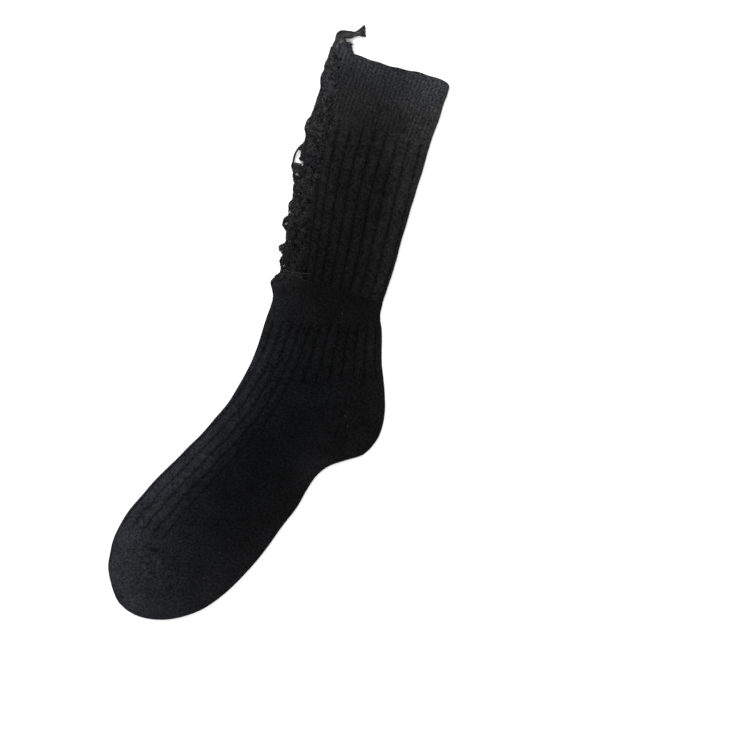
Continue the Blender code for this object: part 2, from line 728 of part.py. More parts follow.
def make_tail(collection):
    """The torn strip: a flat bar drawn along its bend, whose end splits into loose yarns."""
    bm = bmesh.new()
    current = tail_section(bm, TAIL_ROWS[0], Vector((1, 0, 0)))
    end_faces(bm, current)
    for k in range(1, len(TAIL_ROWS)):
        behind, row = TAIL_ROWS[k - 1], TAIL_ROWS[k]
        ahead = TAIL_ROWS[min(k + 1, len(TAIL_ROWS) - 1)]
        run = Vector((ahead.x - behind.x, ahead.y - behind.y, 0)).normalized()
        side = Vector((run.y, -run.x, 0))
        following = tail_section(bm, row, side)
        for i in range(TAIL_ENDS):
            for s in (0, 1):
                bm.faces.new((current[i][s], current[i + 1][s],
                              following[i + 1][s], following[i][s]))
        for i in (0, TAIL_ENDS):
            bm.faces.new((current[i][0], current[i][1], following[i][1], following[i][0]))
        current = following
    ends = end_faces(bm, current)
    bmesh.ops.recalc_face_normals(bm, faces=bm.faces)
    for k, face in enumerate(ends):
        spread = k / (TAIL_ENDS - 1) - 0.5
        tip = face.calc_center_median() + run * TAIL_END_LENGTH * (1 - 0.3 * (k % 2))
        tip += side * spread * TAIL_END_SPREAD
        tail_end(bm, face, tip, side, TAIL_ROWS[-1].width / TAIL_ENDS * TAIL_END_TAPER)
    finish("cuff_tail", bm, collection, FRAYED_COTTON, 1.0)


def main():
    clear_scene()
    collection = bpy.data.collections.new("holey_sock")
    bpy.context.scene.collection.children.link(collection)
    make_cuff(collection)
    make_leg(collection)
    make_foot(collection)
    make_frayed_edge(collection)
    make_tail(collection)


main()
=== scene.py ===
# %% [markdown]
# # A torn rib sock, laid flat
#
# The frame holds the sock's solids at their real size. This lesson dresses them: knitted cloth
# with its ribs and stitches, the loose yarns along the tear, and the torn strip at the cuff.
# Everything is in metres and in the frame's own place, so nothing is fitted afterwards.

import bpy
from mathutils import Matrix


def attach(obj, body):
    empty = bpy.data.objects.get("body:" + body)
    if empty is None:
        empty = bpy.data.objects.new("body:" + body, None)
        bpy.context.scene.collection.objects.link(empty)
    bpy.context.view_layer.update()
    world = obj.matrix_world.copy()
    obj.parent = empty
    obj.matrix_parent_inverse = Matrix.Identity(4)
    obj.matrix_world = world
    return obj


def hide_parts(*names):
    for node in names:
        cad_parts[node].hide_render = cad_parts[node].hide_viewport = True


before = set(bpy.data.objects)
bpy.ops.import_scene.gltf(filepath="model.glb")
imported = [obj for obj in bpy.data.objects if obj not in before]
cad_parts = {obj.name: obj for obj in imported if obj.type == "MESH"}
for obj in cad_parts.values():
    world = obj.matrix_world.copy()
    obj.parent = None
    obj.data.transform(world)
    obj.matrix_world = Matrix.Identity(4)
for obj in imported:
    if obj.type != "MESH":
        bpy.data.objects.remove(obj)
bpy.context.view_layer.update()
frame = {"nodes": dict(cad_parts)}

import math
import random

import bmesh
import bpy
import numpy as np
from mathutils import Vector
from mathutils.bvhtree import BVHTree

print("solids:", ", ".join(frame["nodes"]))

# %% [markdown]
# ## Sizes
#
# A knitter would measure this sock in stitches. A column of stitches is a wale and a row is a
# course. The leg has 6 wales to a wide rib, the cuff 2 to a fine rib, and the ankle and the
# instep 5 to a rib. Numbering the wales across the cloth gives a coordinate that the ribs, the
# stitches and the meshes all share. Lengths below are in millimetres, as a knitter has them,
# and one helper turns them into metres.

# %% Driving sizes
MM = 0.001
CLOTH = 1.6               # thickness of one layer of the shell
LAYERS = 4.7              # both layers together, between the ribs
MIDDLE = LAYERS / 2       # height of the fold line
FOLD_RADIUS = 2.6
WIDE_RIB = 0.95
FINE_RIB = 0.5
UNDER_RIB = 0.35          # ribs of the side that lies on the surface are pressed nearly flat
BAND_TOP = 40.0
CUFF_FOOT = 158.0
COURSE = 1.05             # height of one course
WIDE_WALES = 6            # wales to a wide rib of the leg
FINE_WALES = 2            # wales to a fine rib of the cuff
FOOT_WALES = 5            # wales to a rib of the ankle or the instep
COLUMNS_PER_WALE = 2      # columns of faces in the mesh
FLOOR_GAP = 0.02          # how far the cloth stays off the surface


def smooth(value):
    """0 to 1, with a soft start and a soft end."""
    value = np.clip(value, 0.0, 1.0)
    return value * value * (3 - 2 * value)


def rounding(distance, radius=FOLD_RADIUS):
    """Share of the full height at a distance in from a folded edge."""
    inward = np.clip(distance / radius, 0.0, 1.0)
    return np.sqrt(1 - (1 - inward) ** 2)


def rib_crown(ribs, power=0.35):
    """0 at a valley, which is a whole number, and a domed crown between two valleys."""
    return np.abs(np.sin(np.pi * ribs)) ** power


print("one course is", COURSE, "mm, the flat sock is", LAYERS, "mm thick between its ribs")

# %% [markdown]
# ## The cloth's own wandering
#
# Worn cloth is never quite flat. A few soft creases are given, each from one point to another
# with its own width and depth, and slow waves of a few tenths of a millimetre join them.
# The side that lies on the surface gets the same creases, shallower and moved aside.

# %% Creases and waves
CREASES = (
    # from x, from y, to x, to y, width, depth; the narrow one is the pucker of the toe seam
    (78.0, -30.0, 34.0, -52.0, 7.0, 0.55),
    (22.0, -58.0, 56.0, -72.0, 6.0, 0.5),
    (-20.0, -26.0, 12.0, -42.0, 6.0, 0.4),
    (-27.0, -48.0, 6.0, -62.0, 5.0, 0.3),
    (8.0, -140.0, -22.0, -152.0, 8.0, 0.35),
    (20.0, -118.0, -8.0, -104.0, 7.0, 0.3),
    (-70.0, -196.0, -44.0, -214.0, 9.0, 0.3),
    (-55.5, -183.6, -45.0, -180.2, 1.7, 0.75),
    (-2.0, 150.0, 40.0, 140.0, 9.0, 0.25),
    (54.0, 96.0, 18.0, 78.0, 8.0, 0.3),
    (-8.0, 60.0, 24.0, 52.0, 6.0, 0.3),
    (40.0, 196.0, 12.0, 186.0, 9.0, 0.25),
)
PUFFS = (
    # x, y, radius, height
    (52.0, -44.0, 24.0, 1.3),
    (-47.0, -200.0, 28.0, 0.9),
    (-20.0, -110.0, 30.0, 0.5),
)


def from_segment(x, y, start, end):
    """The nearest place on a segment, as a share of its length, and the distance to it."""
    run_x, run_y = end[0] - start[0], end[1] - start[1]
    size = max(run_x ** 2 + run_y ** 2, 1e-12)
    along = np.clip(((x - start[0]) * run_x + (y - start[1]) * run_y) / size, 0.0, 1.0)
    return along, np.hypot(x - start[0] - along * run_x, y - start[1] - along * run_y)


def crease_depth(x, y):
    """Creases are hollows that are deepest in their middle and fade out at both ends."""
    total = np.zeros_like(x)
    for from_x, from_y, to_x, to_y, width, depth in CREASES:
        along, away = from_segment(x, y, (from_x, from_y), (to_x, to_y))
        total += depth * np.exp(-4 * (away / width) ** 2) * np.sin(np.pi * (0.1 + 0.8 * along))
    return total


def round_spots(spots, x, y):
    """Soft round spots added up, each given by its x, y, radius and height."""
    total = np.zeros_like(x)
    for at_x, at_y, radius, height in spots:
        total += height * np.exp(-((x - at_x) ** 2 + (y - at_y) ** 2) / radius ** 2)
    return total


def slow_waves(x, y):
    """Two sets of low waves that cross each other."""
    waves = 0.10 * np.sin(x / 9.0 + y / 31.0 + 1.0) * np.sin(y / 14.0 - x / 40.0)
    waves += 0.07 * np.sin(x / 5.3 - y / 8.1 + 2.0)
    return waves


def hidden_dents(x, y):
    """The side that lies on the surface stands off it a little along creases of its own."""
    return 0.6 * crease_depth(x + 12.0, y - 9.0)


def layer_height(x, y, side, raised, valley, calm, lift):
    """Height of the upper face, the fold or the under face, whichever the side says."""
    upper = MIDDLE + (MIDDLE + raised + calm * (slow_waves(x, y) - crease_depth(x, y))) * lift
    dents = UNDER_RIB * valley + calm * hidden_dents(x, y) + FLOOR_GAP
    under = MIDDLE - (MIDDLE - dents) * lift
    return np.where(side > 0, upper, np.where(side < 0, under, MIDDLE))


print(len(CREASES), "creases,", len(PUFFS), "places where the layers stand apart")

# %% [markdown]
# The black is paler in some round patches and blacker in others. They are given one by one. They
# change the colour and not the shape, so they are a factor on the tone that each point of the
# cloth carries.

# %% Paler and darker patches
TONE_PATCHES = (
    # x, y, radius, how much paler; negative where it is blacker
    (42.0, -84.0, 17.0, 0.65),
    (66.0, -72.0, 12.0, 0.35),
    (64.0, 4.0, 12.0, 0.4),
    (73.0, -38.0, 12.0, 0.2),
    (-22.0, -28.0, 9.0, 0.3),
    (-6.0, 13.0, 13.0, -0.32),
    (-45.0, -192.0, 11.0, 0.22),
    (-50.0, -229.0, 14.0, 0.3),
    (-20.0, -216.0, 12.0, 0.15),
    (-30.0, 204.0, 8.0, 0.3),
    (-3.0, 162.0, 10.0, -0.15),
    (25.0, 46.0, 22.0, -0.15),
    (-22.4, 32.2, 4.0, 0.3),
    (-15.8, 27.0, 3.0, -0.45),
    (-19.5, 36.5, 2.6, -0.35),
)


def patch_tone(x, y):
    """How much paler or blacker than its surroundings the cloth is, 1 for neither."""
    return 1 + round_spots(TONE_PATCHES, x, y)


print(len(TONE_PATCHES), "tone patches")

# %% [markdown]
# ## A double sheet
#
# A flat tube is two sheets joined along their folds. Each starts as a grid operator's square,
# the second is turned over, and the points of the folded edges are merged. The grid's own place
# is kept in point attributes: how far across and along a point is, and on which side. The real
# place is worked out from them afterwards, for all the points at once.

# %% Make a double grid and lay it out
def double_sheet(columns, rows, folded):
    """Two grids on each other, merged along the folded edges, one unit wide and long."""
    bm = bmesh.new()
    across = bm.verts.layers.float.new("across")
    along = bm.verts.layers.float.new("along")
    side = bm.verts.layers.float.new("side")
    for turned in (False, True):
        made = bmesh.ops.create_grid(bm, x_segments=columns, y_segments=rows, size=0.5)["verts"]
        for vert in made:
            vert[across], vert[along] = vert.co.x + 0.5, vert.co.y + 0.5
            vert[side] = -1.0 if turned else 1.0
        if turned:
            faces = {face for vert in made for face in vert.link_faces}
            bmesh.ops.reverse_faces(bm, faces=list(faces))
    edge_verts = [vert for vert in bm.verts if folded(vert[across], vert[along])]
    for vert in edge_verts:
        vert[side] = 0.0
    bmesh.ops.remove_doubles(bm, verts=edge_verts, dist=1e-6)
    return bm


def read_layer(mesh, name):
    """A point attribute as an array."""
    values = np.empty(len(mesh.vertices), dtype=np.float32)
    mesh.attributes[name].data.foreach_get("value", values)
    return values.astype(float)


def add_object(name, data):
    """An object at the origin, in the scene, with this mesh, curve, lamp or lens."""
    made = bpy.data.objects.new(name, data)
    bpy.context.scene.collection.objects.link(made)
    return made


def lay_out(bm, name, place):
    """Make the bmesh a piece whose points go where the place function says, in millimetres."""
    mesh = bpy.data.meshes.new(name)
    bm.to_mesh(mesh)
    bm.free()
    across, along, side = (read_layer(mesh, layer) for layer in ("across", "along", "side"))
    x, y, z, facts = place(across, along, side)
    mesh.vertices.foreach_set("co", (np.stack([x, y, z], axis=1) * MM).ravel())
    for fact, values in facts.items():
        made = mesh.attributes.new(fact, "FLOAT", "POINT")
        made.data.foreach_set("value", values.astype(np.float32))
    for layer in ("across", "along", "side"):
        mesh.attributes.remove(mesh.attributes[layer])
    mesh.shade_smooth()
    mesh.update()
    return add_object(name, mesh)


def give_thickness(piece, thickness):
    """Cloth is a wall: Solidify grows it inwards from the outer side."""
    wall = piece.modifiers.new("cloth", "SOLIDIFY")
    wall.thickness = thickness * MM
    wall.offset = -1.0
    wall.use_rim = True
    return wall


print("a double sheet is two grids that share their folds")

# %% [markdown]
# ## The torn leg and cuff
#
# Above the ankle band the tube is open along its front. The wide ribs fan out a little towards
# the ankle and the fine cuff ribs run straight, so the wale lines are drawn between a first and
# a last one, and bend to follow the back fold. The loose half of the front is deleted afterwards,
# along a ragged line, which leaves the edge as uneven as a real tear.

# %% Leg and cuff table
LEG_ROWS = np.array((
    # height up the leg, outer limit of the loose yarns, torn edge, back fold
    (40.3, -22.4, -4.5, 56.3),
    (44.0, -23.1, -5.7, 56.2),
    (48.0, -25.5, -6.9, 56.6),
    (53.0, -24.4, -8.2, 56.8),
    (57.0, -29.1, -9.1, 56.8),
    (62.0, -25.2, -10.4, 56.9),
    (70.0, -26.8, -12.1, 56.9),
    (74.5, -31.3, -12.7, 57.1),
    (77.5, -31.5, -13.6, 56.8),
    (82.0, -29.0, -14.6, 56.3),
    (90.0, -31.1, -14.4, 56.3),
    (94.0, -29.6, -14.9, 56.4),
    (104.0, -31.7, -15.5, 56.2),
    (112.0, -34.6, -15.4, 56.2),
    (118.0, -37.6, -16.2, 56.1),
    (126.0, -37.8, -15.9, 56.1),
    (131.0, -36.5, -15.8, 56.2),
    (137.0, -33.4, -16.6, 56.2),
    (141.0, -33.6, -16.9, 56.2),
    (148.0, -36.4, -16.4, 56.2),
    (152.0, -36.2, -16.5, 56.2),
    (156.0, -34.4, -17.1, 55.9),
    (162.0, -33.9, -18.0, 55.8),
    (178.0, -33.6, -21.8, 56.7),
    (186.0, -35.8, -23.6, 57.0),
    (192.0, -34.9, -25.0, 56.9),
    (195.0, -35.7, -26.0, 56.9),
    (201.0, -34.8, -27.7, 57.2),
    (214.0, -35.0, -29.2, 57.5),
))
LEG_Y, OUTLINE_X, TORN_X, BACK_X = LEG_ROWS.T
CUFF_TOP = np.array((
    # x, y
    (-34.5, 208.5), (-32.0, 210.6), (-27.5, 213.5), (-24.0, 215.5), (-21.6, 215.9),
    (-20.0, 214.6), (-18.6, 211.4), (-17.4, 209.3), (-6.0, 208.4), (6.0, 207.8), (18.0, 208.6),
    (31.0, 209.6), (50.0, 209.7), (54.0, 209.2), (56.2, 208.0), (58.0, 205.6),
))


def leg_x(table, y):
    """A column of the table at any height."""
    return np.interp(y, LEG_Y, table)


print("the leg's outline is given at", len(LEG_ROWS), "heights")

# %% Wale lines
LEG_WALES = (-17.0, 52.0)
LEG_SPAN = LEG_WALES[1] - LEG_WALES[0]
LAST_VALLEY = 48.0        # the wale of the last wide valley; the first one is wale 0
FAN_Y = 115.0             # height at which the two valleys' places below are given
FIRST_X, FIRST_LEAN = -14.8, 0.16
LAST_X, LAST_LEAN = 52.1, 0.0625


def wale_x(wale, y):
    """Where a wale lies across the leg: fanned in the wide rib, even in the fine rib."""
    back = leg_x(BACK_X, y)
    below = FAN_Y - np.minimum(y, CUFF_FOOT)
    first = FIRST_X + below * FIRST_LEAN
    last = np.minimum(LAST_X + below * LAST_LEAN, back - 2.2)
    share = wale / LAST_VALLEY
    spread = 1 + 0.12 * smooth((CUFF_FOOT - y) / 43.0)
    fanned = first + (last - first) * np.sign(share) * np.abs(share) ** spread
    past = (wale - LAST_VALLEY) / (LEG_WALES[1] - LAST_VALLEY)
    fanned = np.where(past > 0, last + (back - last) * past, fanned)
    even = first + (back - first) * wale / LEG_WALES[1]
    return fanned + (even - fanned) * smooth((y - CUFF_FOOT) / 25.0)


print("wales at the cuff's foot, x:", wale_x(np.array(LEG_WALES), np.full(2, CUFF_FOOT)).round(1))

# %% Tone of the leg
LEG_BLACK = 6.0           # tone of the leg low down
# The cuff's paleness is partly wear and partly painted sheen.
CUFF_FADE_AND_SHEEN = 25.0          # how much paler the cuff's top is
CUFF_FADE_TOP = 208.0     # above this the cuff is no paler
CUFF_FADE_LENGTH = 36.0   # about how far down from there the paleness reaches


def leg_tone(x, y):
    """How pale the black is: most at the cuff, by wear and by painted sheen, and a little along
    both edges, where it is painted sheen.
    """
    below_top = np.minimum(y - CUFF_FADE_TOP, 0.0)
    tone = LEG_BLACK + CUFF_FADE_AND_SHEEN * np.exp(below_top / CUFF_FADE_LENGTH)
    # Both edges are painted paler, as sheen.
    start = np.interp(y, (110, 150), (28, 12))
    back_sheen = 0.9 * smooth((x - start) / (58.0 - start)) * np.interp(y, (190, 205), (1.0, 0.45))
    front_sheen = 0.35 * smooth((6.0 - x) / 16.0) * smooth((190.0 - y) / 30.0)
    return tone * (1 + back_sheen + front_sheen)


def broken_valley(valley, y):
    """The painted shade of a valley is deeper in some places than in others, as the ribs close and
    open.
    """
    return 0.87 + 0.13 * np.sin(y / 1.1 + 1.9 * valley) * np.sin(y / 4.3 + 2.7 * valley)


def leg_valley_shade(wale, y):
    """Painted shade between two ribs, in narrower lines than the valleys themselves."""
    wide = 1.05 * smooth((CUFF_FOOT + 4.5 - y) / 5.0) * smooth((y - BAND_TOP + 1.5) / 3.0)
    fine = 0.68 * smooth((y - CUFF_FOOT - 2.0) / 6.0)
    dark = wide * (1 - rib_crown(wale / WIDE_WALES, 0.5))
    dark = dark + fine * (1 - rib_crown(wale / FINE_WALES, 0.6))
    return dark * broken_valley(np.round(wale / WIDE_WALES), y)


print("tone", LEG_BLACK, "low on the leg and", LEG_BLACK + CUFF_FADE_AND_SHEEN, "at the cuff's top")

# %% Place of the leg
LEG_FOOT_Y = 40.02
LEG_HEAD_Y = 209.0
CUFF_BEND_Y = 180.0       # above this the courses bend to meet the cuff's uneven top
RIB_RISE = 4.0            # length over which a rib rises from the plain cloth


def leg_ribs(wale, y):
    """How far the cloth is raised, and how much of a wide rib's valley a place is."""
    wide = smooth((CUFF_FOOT - y) / RIB_RISE) * smooth((y - BAND_TOP - 0.6) / RIB_RISE)
    fine = smooth((y - CUFF_FOOT) / RIB_RISE)
    wide_crown = rib_crown(wale / WIDE_WALES)
    raised = wide * WIDE_RIB * wide_crown + fine * FINE_RIB * rib_crown(wale / FINE_WALES)
    return raised, wide * (1 - wide_crown)


def leg_place(across, along, side):
    """Where the points of the leg and cuff go, and what the material has to know of them."""
    wale = LEG_WALES[0] + across * LEG_SPAN
    y = LEG_FOOT_Y + along * (LEG_HEAD_Y - LEG_FOOT_Y)
    x = wale_x(wale, y)
    top = np.interp(x, *CUFF_TOP.T) + 0.22 * np.sin(x / 2.3) + 0.18 * np.sin(x / 5.1 + 1.0)
    y = y + (top - LEG_HEAD_Y) * smooth((y - CUFF_BEND_Y) / (LEG_HEAD_Y - CUFF_BEND_Y))
    raised, valley = leg_ribs(wale, y)
    edge = leg_x(BACK_X, y) - x
    calm = smooth((y - BAND_TOP) / 8.0)
    z = layer_height(x, y, side, raised, valley, calm, rounding(edge))
    x = x + 0.12 * np.sin(y / 3.1) * (edge < 1.0)
    # The under layer behind the loose yarns is painted darker, as shade.
    shade_behind_yarns = smooth((leg_x(TORN_X, y) - 1.0 - x) / 3.0)
    facts = {
        "wale": wale,
        "course": y / COURSE,
        # valley: painted shade along the rib valleys
        "valley": leg_valley_shade(wale, y),
        # tone: paleness by wear and painted sheen, the patches, and painted shade behind the loose
        # yarns
        "tone": leg_tone(x, y) * patch_tone(x, y) * (1 - 0.7 * shade_behind_yarns),
        "cool": 0.5 * smooth((y - 165.0) / 40.0),
    }
    return x, y, z, facts


print("the leg is", LEG_SPAN, "wales wide before it is torn")

# %% [markdown]
# The tear is cut in the bmesh, before the points are placed: a face goes when its middle lies
# in front of the torn line. A seeded random step for each course makes the line ragged, and here
# and there a ladder runs a few wales deeper. The under layer is torn nearer to the fold, so that
# it lies behind the loose yarns, where its tone is painted darker as shade, but for the openings
# that can be seen through.

# %% Openings and the outer limit
HOLES = (
    # x, y, half x, half y; the first two make the one large opening
    (-33.2, 121.9, 3.3, 1.9),
    (-34.8, 126.3, 1.4, 3.8),
    (-31.2, 112.3, 1.7, 0.9),
    (-27.8, 84.5, 1.0, 1.3),
    (-28.4, 75.3, 0.9, 1.4),
    (-21.2, 45.3, 1.1, 1.0),
    (-18.3, 42.6, 1.9, 0.7),
)


def fray_x(y):
    """Outer limit of the loose yarns, rounded between the rows of the table."""
    row = np.clip(np.searchsorted(LEG_Y, y, side="right") - 1, 0, len(LEG_Y) - 2)
    share = smooth((y - LEG_Y[row]) / (LEG_Y[row + 1] - LEG_Y[row]))
    return OUTLINE_X[row] + (OUTLINE_X[row + 1] - OUTLINE_X[row]) * share


EAR_EDGE = np.array((
    # y, x of the rolled corner of the ankle band, as far out as its yarns go
    (30.0, -26.6), (32.1, -26.6), (35.7, -25.4), (38.0, -23.6), (40.3, -22.4),
))


def outer_x(y):
    """The same limit, with the rolled corner of the ankle band below the tear."""
    return np.where(y < 40.3, np.interp(y, *EAR_EDGE.T), fray_x(y))


def in_hole(x, y, clear):
    """Whether a place is in an opening, or within the clear distance of one."""
    return any(
        math.hypot((x - at_x) / (half_x + clear), (y - at_y) / (half_y + clear)) < 1
        for at_x, at_y, half_x, half_y in HOLES)


print(len(HOLES), "places that can be seen through")

# %% Tear the front open
TEAR_SEED = 11
LEG_FACE_ROWS = 100
UNDER_REACH = 5.2         # how far the under layer's torn edge lies behind the outer limit


def torn_line(seed, rows):
    """The torn edge's place at each row of faces, in wales past the table's line."""
    chance = random.Random(seed)
    steps, wander = [], 0.0
    for row in range(rows):
        wander = 0.7 * wander + chance.uniform(-0.45, 0.45)
        ladder = chance.choice((0.0, 0.0, 0.0, 0.0, 1.2)) if row % 3 == 0 else 0.0
        steps.append(wander + ladder)
    return steps


def tear(bm, rows, seed):
    """Delete the faces in front of the torn line, and say how many they were."""
    across, along, side = (bm.verts.layers.float[name] for name in ("across", "along", "side"))
    upper_steps, under_steps = torn_line(seed, rows), torn_line(seed + 1, rows)
    gone = []
    for face in bm.faces:
        share = sum(vert[along] for vert in face.verts) / 4
        wale = LEG_WALES[0] + LEG_SPAN * sum(vert[across] for vert in face.verts) / 4
        y = LEG_FOOT_Y + share * (LEG_HEAD_Y - LEG_FOOT_Y)
        x = float(wale_x(np.array(wale), np.array(y)))
        row = min(int(share * rows), rows - 1)
        if min(vert[side] for vert in face.verts) < 0:
            edge = float(fray_x(y)) + UNDER_REACH + under_steps[row]
            torn = x < edge or in_hole(x, y, 1.0)
        else:
            torn = x < float(leg_x(TORN_X, y)) + upper_steps[row] * 1.3
        if torn:
            gone.append(face)
    bmesh.ops.delete(bm, geom=gone, context="FACES")
    return len(gone)


leg_columns = int(LEG_SPAN * COLUMNS_PER_WALE)
leg_mesh = double_sheet(leg_columns, LEG_FACE_ROWS, lambda across, along: across > 0.9999)
print("faces torn away:", tear(leg_mesh, LEG_FACE_ROWS, TEAR_SEED))
leg = lay_out(leg_mesh, "leg_and_cuff", leg_place)
give_thickness(leg, CLOTH)
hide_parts("cuff_upper", "cuff_under", "leg_upper", "leg_under")
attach(leg, "root")
print("leg and cuff:", len(leg.data.polygons), "faces")

# %% [markdown]
# ## The foot
#
# Below the band the tube is whole, so both its folds and the toe are merged. A foot is not a
# straight tube: its sections turn at the heel and lean back along the sole. They are given as a
# short table, a row for each section from its front edge to its back edge, and a smooth curve
# through the rows gives the sections between. The height of a point depends on how far in from
# the edge of the foot it lies, which rounds the edge in the same way at the side and at the toe.

# %% Foot table
FOOT_ROWS = np.array((
    # front x, front y, back x, back y, first valley, rib pitch
    (-20.4, 40.0, 56.4, 40.0, 6.5, 6.6),
    (-23.9, 37.0, 56.7, 37.5, 6.5, 6.6),
    (-27.2, 31.5, 56.9, 33.0, 6.5, 6.6),
    (-24.7, 26.5, 58.2, 28.0, 6.5, 6.6),
    (-22.2, 21.0, 60.9, 22.5, 6.5, 6.6),
    (-21.8, 13.7, 63.0, 16.6, 6.4, 6.6),
    (-22.3, 5.5, 64.9, 10.0, 6.3, 6.6),
    (-22.4, -2.8, 66.8, 3.4, 6.2, 6.6),
    (-22.4, -10.8, 69.1, -3.6, 6.0, 6.6),
    (-22.6, -18.8, 72.1, -10.5, 5.6, 6.7),
    (-23.6, -30.0, 76.4, -21.0, 5.0, 6.9),
    (-25.6, -41.0, 80.6, -33.6, 4.4, 7.1),
    (-27.9, -51.0, 82.5, -45.7, 3.8, 7.3),
    (-30.6, -61.5, 81.5, -57.7, 3.2, 7.5),
    (-33.7, -69.5, 75.3, -70.4, 2.8, 7.6),
    (-36.9, -76.5, 64.9, -77.8, 2.4, 7.7),
    (-40.3, -84.5, 53.5, -86.0, 2.2, 7.7),
    (-44.2, -92.8, 46.8, -95.5, 2.0, 7.7),
    (-49.6, -102.5, 43.0, -107.5, 1.8, 7.7),
    (-54.3, -111.7, 39.7, -122.0, 1.8, 7.7),
    (-60.5, -122.9, 33.4, -138.5, 1.8, 7.7),
    (-66.3, -133.7, 27.9, -155.1, 1.8, 7.7),
    (-71.7, -146.0, 21.8, -170.4, 1.8, 7.7),
    (-77.5, -159.1, 13.4, -187.7, 1.8, 7.7),
    (-80.9, -171.6, 4.6, -202.1, 1.8, 7.7),
    (-82.6, -183.5, -5.6, -214.4, 1.8, 7.7),
    (-81.9, -194.4, -17.8, -223.6, 1.8, 7.7),
    (-80.2, -204.7, -29.1, -229.1, 1.8, 7.7),
    (-74.6, -215.5, -40.3, -231.9, 1.8, 7.7),
    (-69.0, -223.3, -50.5, -232.2, 1.8, 7.7),
    (-64.9, -227.2, -58.5, -230.4, 1.8, 7.7),
))
ANKLE_RIBS = 12.7
INSTEP_RIBS = 5
FOOT_FACE_ROWS = 150


def through_rows(rows, at):
    """Values at row numbers, whole or not, on a smooth curve through the rows."""
    last = len(rows) - 1
    start = np.clip(np.floor(at).astype(int), 0, last - 1)
    share = (at - start)[:, None]
    before, first, second, after = (rows[np.clip(start + step, 0, last)] for step in (-1, 0, 1, 2))
    curve = 2 * first + (second - before) * share
    curve = curve + (2 * before - 5 * first + 4 * second - after) * share ** 2
    return (curve + (3 * first - before - 3 * second + after) * share ** 3) / 2


def even_rows(rows):
    """How far down the foot's middle each row is, as a share, and the middle's length."""
    middles = (rows[:, 0:2] + rows[:, 2:4]) / 2
    steps = np.linalg.norm(np.diff(middles, axis=0), axis=1)
    length = np.concatenate([[0.0], np.cumsum(steps)])
    return length / length[-1], length[-1]


row_share, FOOT_LENGTH = even_rows(FOOT_ROWS)
fine_rows = through_rows(FOOT_ROWS, np.linspace(0, len(FOOT_ROWS) - 1, 6 * len(FOOT_ROWS)))
foot_edge = np.concatenate([fine_rows[:, 0:2], fine_rows[::-1, 2:4]])


def edge_distance(x, y):
    """How far in from the folded edge each point is."""
    best = np.full(x.shape, 1e9)
    for start, end in zip(foot_edge, foot_edge[1:]):
        best = np.minimum(best, from_segment(x, y, start, end)[1])
    return best


print("the foot is", round(FOOT_LENGTH), "mm along its middle")

# %% [markdown]
# Which ribs stand up depends on where a point is. On the ankle all of them do. The first five
# run on along the instep to the toe, and the rest stop at a sloping line above the plain heel.

# %% Foot ribs
def rib_share(number, width, first, pitch):
    """Where a rib number lies across a section, from 0 at its front edge to 1 at its back."""
    pitch = np.minimum(pitch, 0.085 * width)
    first = np.minimum(first, pitch)
    border = first + (INSTEP_RIBS - 1) * pitch
    near = np.where(number <= 1, number * first, first + (number - 1) * pitch)
    far = border + (width - border) * (number - INSTEP_RIBS) / (ANKLE_RIBS - INSTEP_RIBS)
    return np.where(number <= INSTEP_RIBS, near, far) / width


def ribbed(number, x, y):
    """1 where the cloth is ribbed and 0 where it is plain."""
    below_band = smooth((12.0 + (x - 10.0) * 0.26 - y) / 3.0)
    above_heel = smooth((y + 35.0 - (x - 16.0) * 0.363) / 3.5)
    before_toe = smooth((y + 174.5 + (x + 72.0) * 0.15) / 8.0)
    return below_band * np.where(number > INSTEP_RIBS + 0.05, above_heel, before_toe)


print("ribs:", ANKLE_RIBS, "round the ankle's upper side,", INSTEP_RIBS, "down the instep")

# %% Tone of the foot
# The arch is the least pale place: the least worn, and with the least painted sheen.
FOOT_BLACK = 3.5          # tone of the plain cloth at the arch, the least worn place
ANKLE_FADE = 1.3          # how much paler it is at the ankle
# The toe's paleness is partly wear and partly painted sheen.
TOE_FADE_AND_SHEEN = 7.5            # how much paler it is at the toe's end
TOE_END = -233.0
TOE_FADE_LENGTH = 52.0
# The front edge's paleness is painted sheen.
EDGE_SHEEN = (8.5, 19.5)   # how much paler the front edge is, at the ankle and down the instep
EDGE_REACH = (20.0, 38.0)  # how far in that reaches, at the ankle and at the toe
PUCKER = (-50.7, -181.9)          # the toe seam's end
SEAM_HEADING = (0.957, 0.291)     # the way that the seam runs


def foot_tone(y, front, width):
    """Paleness down the foot: painted sheen along the front edge and a little along the back edge,
    the toe paler by wear and by painted sheen, the arch least pale.
    """
    plain = FOOT_BLACK + ANKLE_FADE * smooth((y + 80.0) / 100.0)
    plain = plain + TOE_FADE_AND_SHEEN * np.exp(-(np.maximum(y - TOE_END, 0.0) / TOE_FADE_LENGTH) ** 1.5)
    edge_sheen = EDGE_SHEEN[0] + (EDGE_SHEEN[1] - EDGE_SHEEN[0]) * smooth(-y / 120.0)
    reach = EDGE_REACH[0] + (EDGE_REACH[1] - EDGE_REACH[0]) * smooth((-70.0 - y) / 150.0)
    # A little painted sheen along the back edge, on the sole's side.
    sole = 1.2 * np.exp(-((width - front) / 14.0) ** 2)
    return plain + edge_sheen * np.exp(-(front / reach) ** 2) + sole


def pucker_shade(x, y):
    """Painted shade where the cloth is drawn in: at the toe seam's end and a little along the seam.
    """
    run_x, run_y = x - PUCKER[0], y - PUCKER[1]
    lengthways = SEAM_HEADING[0] * run_x + SEAM_HEADING[1] * run_y
    crossways = SEAM_HEADING[0] * run_y - SEAM_HEADING[1] * run_x
    dot = np.exp(-(lengthways / 3.3) ** 2 - (crossways / 1.8) ** 2)
    line = np.exp(-((crossways + 0.2) / 1.3) ** 2) * smooth((-51.0 - x) / 3.0)
    return 1 - 0.9 * dot - 0.2 * line


print("tone", FOOT_BLACK, "at the arch and", FOOT_BLACK + TOE_FADE_AND_SHEEN, "at the toe's end")

